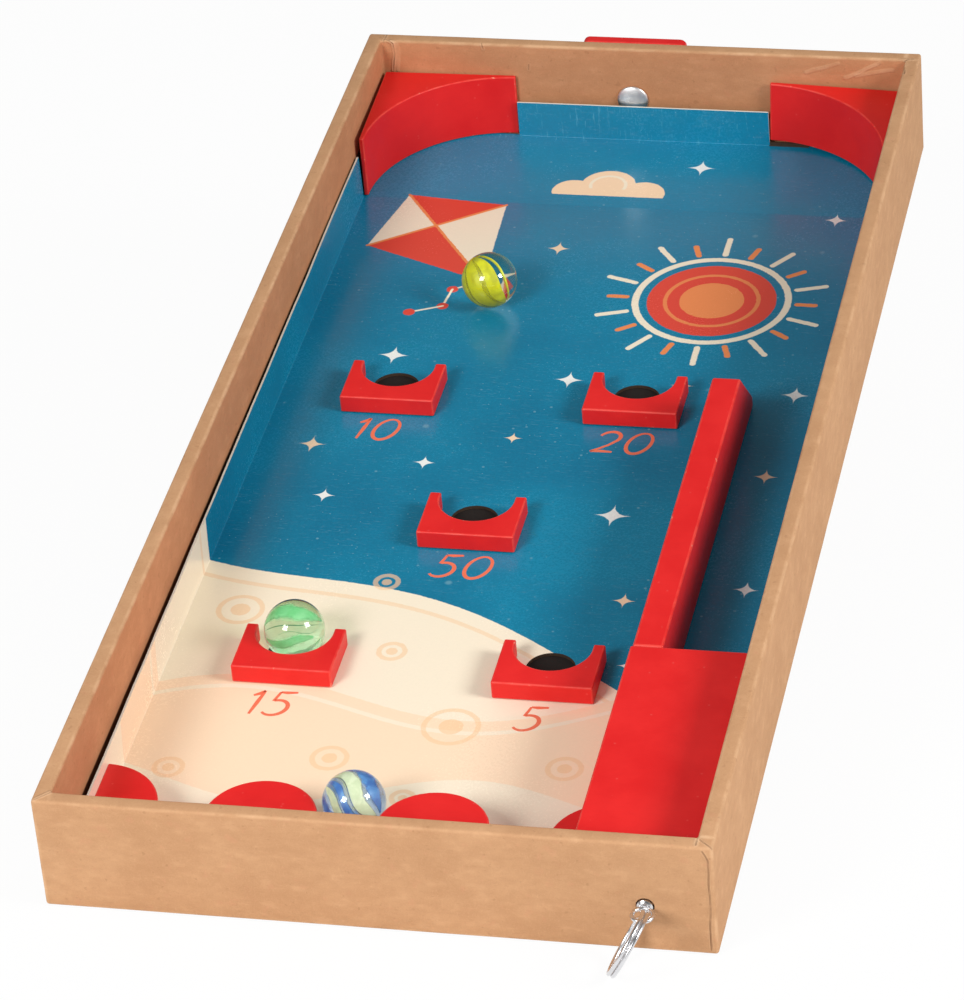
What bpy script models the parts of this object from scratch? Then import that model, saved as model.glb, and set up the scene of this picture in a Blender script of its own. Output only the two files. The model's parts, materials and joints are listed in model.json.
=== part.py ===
"""A tabletop pinball game in a cardboard tray, held at a slope by a leg behind it.

The board is modelled in its own frame: x across, y from the front wall to the back wall,
z up from the tray's underside, with the origin under the middle of the tray. Everything hangs
on one empty, which is turned by the slope and then set down with the whole game's lowest point
at zero height and its outline centred on the world's axis. All lengths are in metres.
"""
import math

import bmesh
import bpy
from mathutils import Matrix, Vector

# Clearances
SEAT_GAP = 0.00015
SIDE_GAP = 0.0003
RUNNING_GAP = 0.0003
CUT_OVERRUN = 0.002

# Tray
TRAY_WIDTH = 0.167
TRAY_LENGTH = 0.375
TRAY_HEIGHT = 0.0327
TRAY_WALL = 0.0043
TRAY_FLOOR = 0.0012
TRAY_EDGE_RADIUS = 0.001

# Cards inside the tray
SHEET_THICKNESS = 0.0004
CARD_THICKNESS = 0.001
CARD_FOLD_RADIUS = 0.0008
CARD_SIDE_GAP = 0.0005
CARD_BACK_GAP = 0.0018
SIDE_FLANGE_HEIGHT = 0.0135
END_FLANGE_HEIGHT = 0.0115
FLANGE_CUT_DEPTH = 0.0005

# Scoring catchers and the holes behind them
CATCHER_WIDTH = 0.0265
CATCHER_DEPTH = 0.0173
CATCHER_HEIGHT = 0.0052
CATCHER_LAND = 0.0066
CATCHER_NOTCH_RADIUS = 0.0102
CATCHER_EDGE_RADIUS = 0.0007
CATCHER_FROM_FLANGE = 0.0325
CATCHER_FROM_HOUSING = 0.0238
CATCHER_OFFSET = 0.001
MIDDLE_ROW_Y = -0.0339
UPPER_ROW_STEP = 0.062
LOWER_ROW_STEP = 0.0635
HOLE_DIAMETER = 0.013
HOLE_FROM_FRONT = 0.0145
HOLE_SHIFT = -0.0007

# Raised red blocks
BLOCK_TOP = 0.0195
BLOCK_EDGE_RADIUS = 0.0005
DEFLECTOR_RADIUS = 0.0385
DEFLECTOR_END = 0.0014
DEFLECTOR_GAP = 0.001
BAR_WIDTH = 0.0078
BAR_SETBACK = 0.0005
BAR_END_Y = 0.0415
BAR_SLOPE_RUN = 0.016
BAR_SLOPE_FOOT = 0.0033

# Plunger housing
HOUSING_WIDTH = 0.0304
HOUSING_LENGTH = 0.086
HOUSING_FRONT_WALL = 0.006
CHANNEL_WIDTH = 0.0185
CHANNEL_HEIGHT = 0.0172
CHANNEL_CORNER_RADIUS = 0.003

# Scalloped strip at the front
SCALLOP_HEIGHT = 0.0094
SCALLOP_DEPTH = 0.0205
SCALLOP_PERIOD = 0.0433
SCALLOP_FIRST_CREST = 0.043
CREST_RADIUS = 0.0142
CREST_CENTRE_DROP = 0.0014
SIDE_CREST_RADIUS = 0.0166
TROUGH_FILLET = 0.002
SCALLOP_EDGE_RADIUS = 0.0005

# Plunger
ROD_FROM_RIGHT = 0.0111
ROD_HEIGHT = 0.0136
ROD_DIAMETER = 0.004
EYE_RADIUS = 0.0025
EYE_WIRE = 0.0011
WASHER_DIAMETER = 0.010
WASHER_THICKNESS = 0.0008
STRIKER_DIAMETER = 0.012
STRIKER_LENGTH = 0.012
STRIKER_SETBACK = 0.0058
STRIKER_BORE_DEPTH = 0.008
STRIKER_EDGE_RADIUS = 0.001
SPRING_DIAMETER = 0.009
SPRING_WIRE = 0.0008
SPRING_CURLS = 22
SPRING_POINTS_PER_CURL = 9

# Pull ring
RING_DIAMETER = 0.018
RING_WIRE = 0.0011
RING_PITCH = 0.0013
RING_TURN = math.radians(-6.8)
RING_LEAN = math.radians(-27.3)
RING_TABLE_GAP = 0.0003
RING_STEP_ANGLE = math.radians(36)
RING_END_ANGLE = math.radians(12)
RING_GATE_ANGLE = math.radians(270)
RING_POINTS_PER_TURN = 30

# Leg and its pivot
LEG_WIDTH = 0.0312
LEG_THICKNESS = 0.0036
LEG_REACH = 0.0796
LEG_HEAD = 0.0162
LEG_CORNER_RADIUS = 0.002
LEG_EDGE_RADIUS = 0.0005
PIVOT_X = -0.003
PIVOT_HEIGHT = 0.0154
SCREW_DIAMETER = 0.004
SCREW_HEAD_DIAMETER = 0.0094
SCREW_HEAD_RIM = 0.0003
SCREW_HEAD_CROWN = 0.0012
SCREW_TIP = 0.0008
NUT_ACROSS_FLATS = 0.007
NUT_THICKNESS = 0.003

# Marbles
MARBLE_DIAMETER = 0.016
FREE_MARBLE_FROM_FLANGE = 0.0501
FREE_MARBLE_FROM_BACK = 0.1007
CAUGHT_MARBLE_SHIFT_X = 0.0005
CAUGHT_MARBLE_FROM_FRONT = 0.0148

# Facets
ROUND_SEGMENTS = 32
SMALL_ROUND_SEGMENTS = 24
MARBLE_SEGMENTS = 24
MARBLE_RINGS = 14
EDGE_SEGMENTS = 2
SHARP_ANGLE = math.radians(35)

# Places that follow from the sizes
INNER_HALF_WIDTH = TRAY_WIDTH / 2 - TRAY_WALL
INNER_HALF_LENGTH = TRAY_LENGTH / 2 - TRAY_WALL
SHEET_BOTTOM = TRAY_FLOOR + SEAT_GAP
CARD_BOTTOM = SHEET_BOTTOM + SHEET_THICKNESS + SEAT_GAP
FIELD_TOP = CARD_BOTTOM + CARD_THICKNESS
SEAT_HEIGHT = FIELD_TOP + SEAT_GAP
FLANGE_X = INNER_HALF_WIDTH - CARD_SIDE_GAP - CARD_THICKNESS
FLANGE_FRONT_Y = -INNER_HALF_LENGTH + SIDE_GAP + CARD_THICKNESS
FLANGE_BACK_Y = INNER_HALF_LENGTH - CARD_BACK_GAP - CARD_THICKNESS
DEFLECTOR_REACH = DEFLECTOR_RADIUS + DEFLECTOR_END
DEFLECTOR_X = INNER_HALF_WIDTH - DEFLECTOR_GAP - DEFLECTOR_REACH
DEFLECTOR_Y = INNER_HALF_LENGTH - DEFLECTOR_GAP - DEFLECTOR_REACH
HOUSING_FRONT_Y = -INNER_HALF_LENGTH + SIDE_GAP
HOUSING_BACK_Y = HOUSING_FRONT_Y + HOUSING_LENGTH
HOUSING_RIGHT_X = FLANGE_X - SIDE_GAP
HOUSING_LEFT_X = HOUSING_RIGHT_X - HOUSING_WIDTH
BAR_LEFT_X = HOUSING_LEFT_X + BAR_SETBACK
ROD_X = HOUSING_RIGHT_X - ROD_FROM_RIGHT
SCALLOP_LEFT_X = -FLANGE_X + SIDE_GAP
SCALLOP_FIRST_X = SCALLOP_LEFT_X + SCALLOP_FIRST_CREST
FRONT_FACE_Y = -TRAY_LENGTH / 2
BACK_FACE_Y = TRAY_LENGTH / 2
ROD_HOLE_DIAMETER = ROD_DIAMETER + 2 * RUNNING_GAP
SCREW_HOLE_DIAMETER = SCREW_DIAMETER + 2 * RUNNING_GAP
LEFT_COLUMN_X = -FLANGE_X + CATCHER_FROM_FLANGE
RIGHT_COLUMN_X = HOUSING_LEFT_X - CATCHER_FROM_HOUSING
MIDDLE_COLUMN_X = (LEFT_COLUMN_X + RIGHT_COLUMN_X) / 2 + CATCHER_OFFSET
CATCHER_PLACES = {
    "catcher_10": (LEFT_COLUMN_X, MIDDLE_ROW_Y + UPPER_ROW_STEP),
    "catcher_20": (RIGHT_COLUMN_X, MIDDLE_ROW_Y + UPPER_ROW_STEP),
    "catcher_50": (MIDDLE_COLUMN_X, MIDDLE_ROW_Y),
    "catcher_15": (LEFT_COLUMN_X, MIDDLE_ROW_Y - LOWER_ROW_STEP),
    "catcher_5": (RIGHT_COLUMN_X, MIDDLE_ROW_Y - LOWER_ROW_STEP),
}


def remove_everything():
    for item in list(bpy.data.objects):
        bpy.data.objects.remove(item, do_unlink=True)


def new_collection(name):
    group = bpy.data.collections.new(name)
    bpy.context.scene.collection.children.link(group)
    return group


def new_material(name, colour, roughness, metallic=0):
    material = bpy.data.materials.new(name)
    material.use_nodes = True
    surface = material.node_tree.nodes["Principled BSDF"]
    surface.inputs["Base Color"].default_value = (*colour, 1)
    surface.inputs["Roughness"].default_value = roughness
    surface.inputs["Metallic"].default_value = metallic
    return material


remove_everything()
PARTS = new_collection("tabletop_pinball")
CUTTERS = new_collection("cutters")


def new_empty(name, parent=None, location=(0, 0, 0)):
    empty = bpy.data.objects.new(name, None)
    PARTS.objects.link(empty)
    empty.parent = parent
    empty.location = location
    return empty


def place(item, parent, location=(0, 0, 0), rotation=(0, 0, 0)):
    item.parent = parent
    item.location = location
    item.rotation_euler = rotation
    return item


def add_mesh_object(name, mesh, group=PARTS):
    item = bpy.data.objects.new(name, mesh)
    group.objects.link(item)
    if group is CUTTERS:
        item.hide_render = True
        item.display_type = "WIRE"
    return item


def finished_mesh(name, shape):
    mesh = bpy.data.meshes.new(name)
    shape.to_mesh(mesh)
    shape.free()
    mesh.shade_smooth()
    mesh.set_sharp_from_angle(angle=SHARP_ANGLE)
    return mesh


def box(name, low, high, parent, group=PARTS):
    """A box between two corners, with its origin at its middle."""
    size = Vector(high) - Vector(low)
    shape = bmesh.new()
    bmesh.ops.create_cube(shape, size=1)
    bmesh.ops.scale(shape, vec=size, verts=shape.verts)
    item = add_mesh_object(name, finished_mesh(name, shape), group)
    return place(item, parent, (Vector(low) + Vector(high)) / 2)


def cylinder(name, diameter, length, parent, location, rotation=(0, 0, 0), group=PARTS,
             segments=ROUND_SEGMENTS):
    """A cylinder about its own z axis, standing on its origin."""
    shape = bmesh.new()
    bmesh.ops.create_cone(shape, cap_ends=True, segments=segments, radius1=diameter / 2,
                          radius2=diameter / 2, depth=length)
    bmesh.ops.translate(shape, vec=(0, 0, length / 2), verts=shape.verts)
    item = add_mesh_object(name, finished_mesh(name, shape), group)
    return place(item, parent, location, rotation)


def curve_to_piece(name, curve, group=PARTS):
    """Turns a curve into a mesh object with its caps welded on."""
    source = bpy.data.objects.new(name + "_curve", curve)
    PARTS.objects.link(source)
    bpy.context.view_layer.update()
    mesh = bpy.data.meshes.new_from_object(source.evaluated_get(bpy.context.evaluated_depsgraph_get()))
    shape = bmesh.new()
    shape.from_mesh(mesh)
    bmesh.ops.remove_doubles(shape, verts=shape.verts, dist=SEAT_GAP / 100)
    bmesh.ops.recalc_face_normals(shape, faces=shape.faces)
    shape.to_mesh(mesh)
    shape.free()
    mesh.name = name
    mesh.shade_smooth()
    mesh.set_sharp_from_angle(angle=SHARP_ANGLE)
    item = add_mesh_object(name, mesh, group)
    item.matrix_world = source.matrix_world
    bpy.data.objects.remove(source, do_unlink=True)
    return item


def extruded(name, outline, thickness, group=PARTS):
    """A flat outline in the xy plane, made a slab about that plane."""
    curve = bpy.data.curves.new(name, "CURVE")
    curve.dimensions = "2D"
    curve.fill_mode = "BOTH"
    curve.extrude = thickness / 2
    spline = curve.splines.new("POLY")
    spline.points.add(len(outline) - 1)
    for point, (x, y) in zip(spline.points, outline):
        point.co = (x, y, 0, 1)
    spline.use_cyclic_u = True
    return curve_to_piece(name, curve, group)


def tube(name, points, diameter, group=PARTS):
    """A round wire through the given points, closed with flat ends."""
    curve = bpy.data.curves.new(name, "CURVE")
    curve.dimensions = "3D"
    curve.bevel_depth = diameter / 2
    curve.bevel_resolution = 1
    curve.use_fill_caps = True
    spline = curve.splines.new("POLY")
    spline.points.add(len(points) - 1)
    for point, place_on_line in zip(spline.points, points):
        point.co = (*place_on_line, 1)
    return curve_to_piece(name, curve, group)


def turned(name, profile, parent, location, rotation=(0, 0, 0), segments=SMALL_ROUND_SEGMENTS):
    """A turned piece: a profile of (radius, height) pairs, from its top end to its lower end."""
    shape = bmesh.new()
    corners = [shape.verts.new((radius, 0, height)) for radius, height in profile]
    for first, second in zip(corners, corners[1:]):
        shape.edges.new((first, second))
    mesh = bpy.data.meshes.new(name)
    shape.to_mesh(mesh)
    shape.free()
    item = add_mesh_object(name, mesh)
    screw = item.modifiers.new("turning", "SCREW")
    screw.steps = segments
    screw.render_steps = segments
    screw.use_merge_vertices = True
    screw.merge_threshold = SEAT_GAP / 10
    screw.use_smooth_shade = True
    return place(item, parent, location, rotation)


def washer_profile(outer_diameter, bore_diameter, thickness):
    return [
        (bore_diameter / 2, thickness),
        (outer_diameter / 2, thickness),
        (outer_diameter / 2, 0),
        (bore_diameter / 2, 0),
        (bore_diameter / 2, thickness),
    ]


def round_edges(item, width, segments=EDGE_SEGMENTS, limit=SHARP_ANGLE):
    bevel = item.modifiers.new("edges", "BEVEL")
    bevel.width = width
    bevel.segments = segments
    bevel.limit_method = "ANGLE"
    bevel.angle_limit = limit
    return item


def combine(item, other, operation="DIFFERENCE"):
    boolean = item.modifiers.new(other.name, "BOOLEAN")
    boolean.object = other
    boolean.operation = operation
    boolean.solver = "EXACT"
    return item


def arc(centre, radius, start, end, steps):
    """Points along an arc from one angle to another, both ends included."""
    turns = [start + (end - start) * step / steps for step in range(steps + 1)]
    return [(centre[0] + radius * math.cos(turn), centre[1] + radius * math.sin(turn)) for turn in turns]


def least_gap(points, wire, skipped):
    """The smallest clear distance between stretches of one wire that are not neighbours."""
    nearest = min(
        (Vector(first) - Vector(second)).length
        for index, first in enumerate(points)
        for second in points[index + skipped:]
    )
    return nearest - wire


def resting_slope():
    """The slope at which the tray's front edge and the leg's foot both touch the table."""
    tray_y = FRONT_FACE_Y + TRAY_EDGE_RADIUS
    tray_z = TRAY_EDGE_RADIUS
    foot_y = LEG_FRONT_Y + LEG_EDGE_RADIUS
    foot_z = PIVOT_HEIGHT - LEG_REACH + LEG_EDGE_RADIUS
    run = foot_y - tray_y
    rise = foot_z - tray_z
    return math.asin((LEG_EDGE_RADIUS - TRAY_EDGE_RADIUS) / math.hypot(run, rise)) - math.atan2(rise, run)


LEG_FRONT_Y = BACK_FACE_Y + SEAT_GAP + WASHER_THICKNESS + SEAT_GAP
SLOPE = resting_slope()
UP_ON_BOARD = Vector((0, math.sin(SLOPE), math.cos(SLOPE)))
TABLE_LEVEL = (
    Vector((0, FRONT_FACE_Y + TRAY_EDGE_RADIUS, TRAY_EDGE_RADIUS)).dot(UP_ON_BOARD) - TRAY_EDGE_RADIUS
)

KRAFT = new_material("kraft_board", (0.72, 0.42, 0.23), 0.85)
DARK_CARD = new_material("dark_card", (0.03, 0.022, 0.02), 0.9)
PRINTED_CARD = new_material("printed_card", (0.03, 0.2, 0.32), 0.45)
RED_PAINT = new_material("red_paint", (0.72, 0.03, 0.03), 0.4)
STEEL = new_material("bright_steel", (0.75, 0.75, 0.76), 0.2, 1)
YELLOW_GLASS = new_material("yellow_glass", (0.72, 0.8, 0.35), 0.05)
GREEN_GLASS = new_material("green_glass", (0.3, 0.62, 0.4), 0.05)
BLUE_GLASS = new_material("blue_glass", (0.45, 0.6, 0.72), 0.05)

BOARD = new_empty("board_tilt")


def paint(item, material):
    item.data.materials.clear()
    item.data.materials.append(material)
    return item


def make_tray():
    half_width = TRAY_WIDTH / 2
    tray = box("tray", (-half_width, FRONT_FACE_Y, 0), (half_width, BACK_FACE_Y, TRAY_HEIGHT), BOARD)
    round_edges(tray, TRAY_EDGE_RADIUS)
    hollow = box("tray_hollow", (-INNER_HALF_WIDTH, -INNER_HALF_LENGTH, TRAY_FLOOR),
                 (INNER_HALF_WIDTH, INNER_HALF_LENGTH, TRAY_HEIGHT + CUT_OVERRUN), BOARD, CUTTERS)
    combine(tray, hollow)
    across = (math.radians(90), 0, 0)
    drill_length = TRAY_WALL + 2 * CUT_OVERRUN
    rod_hole = cylinder("tray_rod_hole", ROD_HOLE_DIAMETER, drill_length, BOARD,
                        (ROD_X, -INNER_HALF_LENGTH + CUT_OVERRUN, ROD_HEIGHT), across, CUTTERS,
                        SMALL_ROUND_SEGMENTS)
    screw_hole = cylinder("tray_screw_hole", SCREW_HOLE_DIAMETER, drill_length, BOARD,
                          (PIVOT_X, BACK_FACE_Y + CUT_OVERRUN, PIVOT_HEIGHT), across, CUTTERS,
                          SMALL_ROUND_SEGMENTS)
    combine(tray, rod_hole)
    combine(tray, screw_hole)
    paint(tray, KRAFT)


def make_backing_sheet():
    half_width = INNER_HALF_WIDTH - SIDE_GAP
    half_length = INNER_HALF_LENGTH - SIDE_GAP
    sheet = box("backing_sheet", (-half_width, -half_length, SHEET_BOTTOM),
                (half_width, half_length, SHEET_BOTTOM + SHEET_THICKNESS), BOARD)
    paint(sheet, DARK_CARD)


def make_playfield():
    """A card with its four sides folded up; the folds stop short at the corner blocks."""
    side_top = FIELD_TOP + SIDE_FLANGE_HEIGHT
    end_top = FIELD_TOP + END_FLANGE_HEIGHT
    low = (-FLANGE_X - CARD_THICKNESS, FLANGE_FRONT_Y - CARD_THICKNESS, CARD_BOTTOM)
    high = (FLANGE_X + CARD_THICKNESS, FLANGE_BACK_Y + CARD_THICKNESS, side_top)
    card = box("playfield", low, high, BOARD)
    round_edges(card, CARD_FOLD_RADIUS)
    hollow = box("playfield_hollow", (-FLANGE_X, FLANGE_FRONT_Y, FIELD_TOP),
                 (FLANGE_X, FLANGE_BACK_Y, side_top + CUT_OVERRUN), BOARD, CUTTERS)
    combine(card, hollow)

    over_x = FLANGE_X + CARD_THICKNESS + CUT_OVERRUN
    over_y = INNER_HALF_LENGTH + CUT_OVERRUN
    under = CARD_BOTTOM - CUT_OVERRUN
    over = side_top + CUT_OVERRUN
    cut_x = FLANGE_X - FLANGE_CUT_DEPTH
    cut_back = FLANGE_BACK_Y - FLANGE_CUT_DEPTH
    cut_front = FLANGE_FRONT_Y + FLANGE_CUT_DEPTH
    corner_x = DEFLECTOR_X - SIDE_GAP
    corner_y = DEFLECTOR_Y - SIDE_GAP
    cuts = {
        "back_flange_top": ((-over_x, cut_back, end_top), (over_x, over_y, over)),
        "front_flange_top": ((-over_x, -over_y, end_top), (over_x, cut_front, over)),
        "front_flange_gap": ((HOUSING_LEFT_X - SIDE_GAP, -over_y, under), (over_x, cut_front, over)),
        "left_flange_end": ((-over_x, corner_y, under), (-cut_x, over_y, over)),
        "right_flange_end": ((cut_x, corner_y, under), (over_x, over_y, over)),
        "back_flange_left_end": ((-over_x, cut_back, under), (-corner_x, over_y, over)),
        "back_flange_right_end": ((corner_x, cut_back, under), (over_x, over_y, over)),
    }
    for name, (low_corner, high_corner) in cuts.items():
        combine(card, box(name, low_corner, high_corner, BOARD, CUTTERS))
    for name, (x, y) in CATCHER_PLACES.items():
        hole = cylinder(name + "_hole", HOLE_DIAMETER, CARD_THICKNESS + 2 * CUT_OVERRUN, BOARD,
                        (x + HOLE_SHIFT, y + HOLE_FROM_FRONT, CARD_BOTTOM - CUT_OVERRUN), group=CUTTERS)
        combine(card, hole)
    paint(card, PRINTED_CARD)


def catcher_outline():
    """A block with a round notch open to the back, seen from above; its front edge is at y = 0."""
    half = CATCHER_WIDTH / 2
    notch_y = CATCHER_LAND + CATCHER_NOTCH_RADIUS
    notch = arc((0, notch_y), CATCHER_NOTCH_RADIUS, 0, -math.pi, ROUND_SEGMENTS // 2)
    return [
        (-half, 0),
        (half, 0),
        (half, CATCHER_DEPTH),
        (CATCHER_NOTCH_RADIUS, CATCHER_DEPTH),
        *notch,
        (-CATCHER_NOTCH_RADIUS, CATCHER_DEPTH),
        (-half, CATCHER_DEPTH),
    ]


def make_catchers():
    for name, (x, y) in CATCHER_PLACES.items():
        catcher = extruded(name, catcher_outline(), CATCHER_HEIGHT)
        place(catcher, BOARD, (x, y, SEAT_HEIGHT + CATCHER_HEIGHT / 2))
        round_edges(catcher, CATCHER_EDGE_RADIUS)
        paint(catcher, RED_PAINT)


def make_corner_deflectors():
    """A square block in each back corner, hollowed by a quarter circle that turns the marble."""
    for name, side in {"corner_deflector_left": -1, "corner_deflector_right": 1}.items():
        curve = arc((0, 0), DEFLECTOR_RADIUS, math.pi, math.pi / 2, ROUND_SEGMENTS // 2)
        outline = [
            (-DEFLECTOR_REACH, 0),
            *curve,
            (0, DEFLECTOR_REACH),
            (-DEFLECTOR_REACH, DEFLECTOR_REACH),
        ]
        outline = [(-side * x, y) for x, y in outline]
        block = extruded(name, outline, BLOCK_TOP - SEAT_GAP)
        place(block, BOARD, (side * DEFLECTOR_X, DEFLECTOR_Y, SEAT_HEIGHT + (BLOCK_TOP - SEAT_GAP) / 2))
        round_edges(block, BLOCK_EDGE_RADIUS)
        paint(block, RED_PAINT)


def make_lane_bar():
    """The bar beside the launch lane, with its far end sloped; its outline is drawn from the side."""
    start = HOUSING_BACK_Y + SIDE_GAP
    length = BAR_END_Y - start
    height = BLOCK_TOP - SEAT_GAP
    outline = [
        (0, 0),
        (length, 0),
        (length, BAR_SLOPE_FOOT),
        (length - BAR_SLOPE_RUN, height),
        (0, height),
    ]
    bar = extruded("lane_bar", outline, BAR_WIDTH)
    upright = (math.radians(90), 0, math.radians(90))
    place(bar, BOARD, (BAR_LEFT_X + BAR_WIDTH / 2, start, SEAT_HEIGHT), upright)
    round_edges(bar, BLOCK_EDGE_RADIUS)
    paint(bar, RED_PAINT)


def make_plunger_housing():
    """The block over the plunger, with a channel that opens on the lane and a bore for the rod."""
    top = FIELD_TOP + BLOCK_TOP
    housing = box("plunger_housing", (HOUSING_LEFT_X, HOUSING_FRONT_Y, SEAT_HEIGHT),
                  (HOUSING_RIGHT_X, HOUSING_BACK_Y, top), BOARD)
    round_edges(housing, BLOCK_EDGE_RADIUS)
    half = CHANNEL_WIDTH / 2
    channel = box("housing_channel",
                  (ROD_X - half, HOUSING_FRONT_Y + HOUSING_FRONT_WALL, SEAT_HEIGHT - CUT_OVERRUN),
                  (ROD_X + half, HOUSING_BACK_Y + CUT_OVERRUN, SEAT_HEIGHT + CHANNEL_HEIGHT),
                  BOARD, CUTTERS)
    round_edges(channel, CHANNEL_CORNER_RADIUS / 2)
    bore = cylinder("housing_bore", ROD_HOLE_DIAMETER, HOUSING_FRONT_WALL + 2 * CUT_OVERRUN, BOARD,
                    (ROD_X, HOUSING_FRONT_Y + HOUSING_FRONT_WALL + CUT_OVERRUN, ROD_HEIGHT),
                    (math.radians(90), 0, 0), CUTTERS, SMALL_ROUND_SEGMENTS)
    combine(housing, channel)
    combine(housing, bore)
    paint(housing, RED_PAINT)


def crest_side(centre_x, radius, side):
    """One flank of a crest, from its fillet on the trough floor (y = 0) up to its top."""
    centre_y = -CREST_CENTRE_DROP
    reach = radius + TROUGH_FILLET
    fillet_x = math.sqrt(reach ** 2 - (TROUGH_FILLET - centre_y) ** 2)
    meet = math.atan2(TROUGH_FILLET - centre_y, fillet_x)
    steps = ROUND_SEGMENTS // 8
    fillet = arc((fillet_x, TROUGH_FILLET), TROUGH_FILLET, -math.pi / 2, meet - math.pi, steps)
    flank = arc((0, centre_y), radius, meet, math.pi / 2, 2 * steps)
    return [(centre_x + side * x, y) for x, y in fillet + flank[1:]]


def scallop_outline():
    """The strip seen from above: crests that part the marbles, with flat troughs at y = 0."""
    right = HOUSING_LEFT_X - SIDE_GAP
    edge = crest_side(SCALLOP_LEFT_X, SIDE_CREST_RADIUS, 1)[::-1]
    centre = SCALLOP_FIRST_X
    while centre + CREST_RADIUS < right:
        edge += crest_side(centre, CREST_RADIUS, -1)
        edge += crest_side(centre, CREST_RADIUS, 1)[::-1][1:]
        centre += SCALLOP_PERIOD
    last = [(x, y) for x, y in crest_side(centre, CREST_RADIUS, -1) if x < right]
    if last:
        height_at_right = math.sqrt(max(CREST_RADIUS ** 2 - (right - centre) ** 2, 0)) - CREST_CENTRE_DROP
        edge += last + [(right, max(height_at_right, last[-1][1]))]
    else:
        edge += [(right, 0)]
    return [(SCALLOP_LEFT_X, -SCALLOP_DEPTH), *edge, (right, -SCALLOP_DEPTH)]


def make_front_scallop():
    strip = extruded("front_scallop", scallop_outline(), SCALLOP_HEIGHT)
    place(strip, BOARD, (0, TROUGH_Y, SEAT_HEIGHT + SCALLOP_HEIGHT / 2))
    round_edges(strip, SCALLOP_EDGE_RADIUS)
    paint(strip, RED_PAINT)


TROUGH_Y = FLANGE_FRONT_Y + SIDE_GAP + SCALLOP_DEPTH

# The plunger's stack along the rod; the spring fills what the pieces at its ends leave
FRONT_WASHER_Y = HOUSING_FRONT_Y + HOUSING_FRONT_WALL + SEAT_GAP
SPRING_START_Y = FRONT_WASHER_Y + WASHER_THICKNESS + SEAT_GAP
STRIKER_Y = HOUSING_BACK_Y - STRIKER_SETBACK - STRIKER_LENGTH
SPRING_WASHER_Y = STRIKER_Y - SEAT_GAP - WASHER_THICKNESS
SPRING_LENGTH = SPRING_WASHER_Y - SEAT_GAP - SPRING_START_Y
EYE_Y = FRONT_FACE_Y - RUNNING_GAP - EYE_RADIUS - EYE_WIRE / 2
ALONG_BOARD = (math.radians(-90), 0, 0)


def make_plunger(carriage):
    """The rod with its eye, the striker and the washer that the spring pushes."""
    rod_front = EYE_Y + EYE_RADIUS
    rod_back = STRIKER_Y + STRIKER_BORE_DEPTH - SIDE_GAP
    rod = cylinder("plunger_rod", ROD_DIAMETER, rod_back - rod_front, carriage, (0, rod_front, 0),
                   ALONG_BOARD, segments=SMALL_ROUND_SEGMENTS)
    eye_curve = bpy.data.curves.new("rod_eye", "CURVE")
    eye_curve.dimensions = "3D"
    eye_curve.bevel_depth = EYE_WIRE / 2
    eye_curve.bevel_resolution = 2
    spline = eye_curve.splines.new("POLY")
    turns = [2 * math.pi * step / SMALL_ROUND_SEGMENTS for step in range(SMALL_ROUND_SEGMENTS)]
    spline.points.add(len(turns) - 1)
    for point, turn in zip(spline.points, turns):
        point.co = (EYE_RADIUS * math.cos(turn), EYE_RADIUS * math.sin(turn), 0, 1)
    spline.use_cyclic_u = True
    eye = place(curve_to_piece("rod_eye", eye_curve, CUTTERS), carriage, (0, EYE_Y, 0))
    combine(rod, eye, "UNION")
    paint(rod, STEEL)

    striker = cylinder("plunger_striker", STRIKER_DIAMETER, STRIKER_LENGTH, carriage,
                       (0, STRIKER_Y, 0), ALONG_BOARD)
    round_edges(striker, STRIKER_EDGE_RADIUS)
    socket = cylinder("striker_socket", ROD_DIAMETER + 2 * SEAT_GAP, STRIKER_BORE_DEPTH + CUT_OVERRUN,
                      carriage, (0, STRIKER_Y - CUT_OVERRUN, 0), ALONG_BOARD, CUTTERS,
                      SMALL_ROUND_SEGMENTS)
    combine(striker, socket)
    paint(striker, RED_PAINT)

    profile = washer_profile(WASHER_DIAMETER, ROD_DIAMETER + 2 * SEAT_GAP, WASHER_THICKNESS)
    paint(turned("spring_washer", profile, carriage, (0, SPRING_WASHER_Y, 0), ALONG_BOARD), STEEL)


def make_front_washer():
    profile = washer_profile(WASHER_DIAMETER, ROD_HOLE_DIAMETER, WASHER_THICKNESS)
    location = (ROD_X, FRONT_WASHER_Y, ROD_HEIGHT)
    paint(turned("front_washer", profile, BOARD, location, ALONG_BOARD), STEEL)


def spring_points():
    """A helix along y, with each end of the wire turned to meet its washer squarely."""
    radius = (SPRING_DIAMETER - SPRING_WIRE) / 2
    end_run = SPRING_WIRE
    coiled = SPRING_LENGTH - 2 * end_run
    count = SPRING_CURLS * SPRING_POINTS_PER_CURL
    points = []
    for step in range(count + 1):
        turn = 2 * math.pi * step / SPRING_POINTS_PER_CURL
        points.append((radius * math.cos(turn), end_run + coiled * step / count, radius * math.sin(turn)))
    first = (points[0][0], 0, points[0][2])
    last = (points[-1][0], SPRING_LENGTH, points[-1][2])
    return [first, *points, last]


def make_plunger_spring():
    points = spring_points()
    spring = tube("plunger_spring", points, SPRING_WIRE)
    place(spring, BOARD, (ROD_X, SPRING_START_Y, ROD_HEIGHT))
    paint(spring, STEEL)
    gap = least_gap(points, SPRING_WIRE, SPRING_POINTS_PER_CURL - 2)
    print("least gap between the spring's curls, m:", round(gap, 6))


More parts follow.
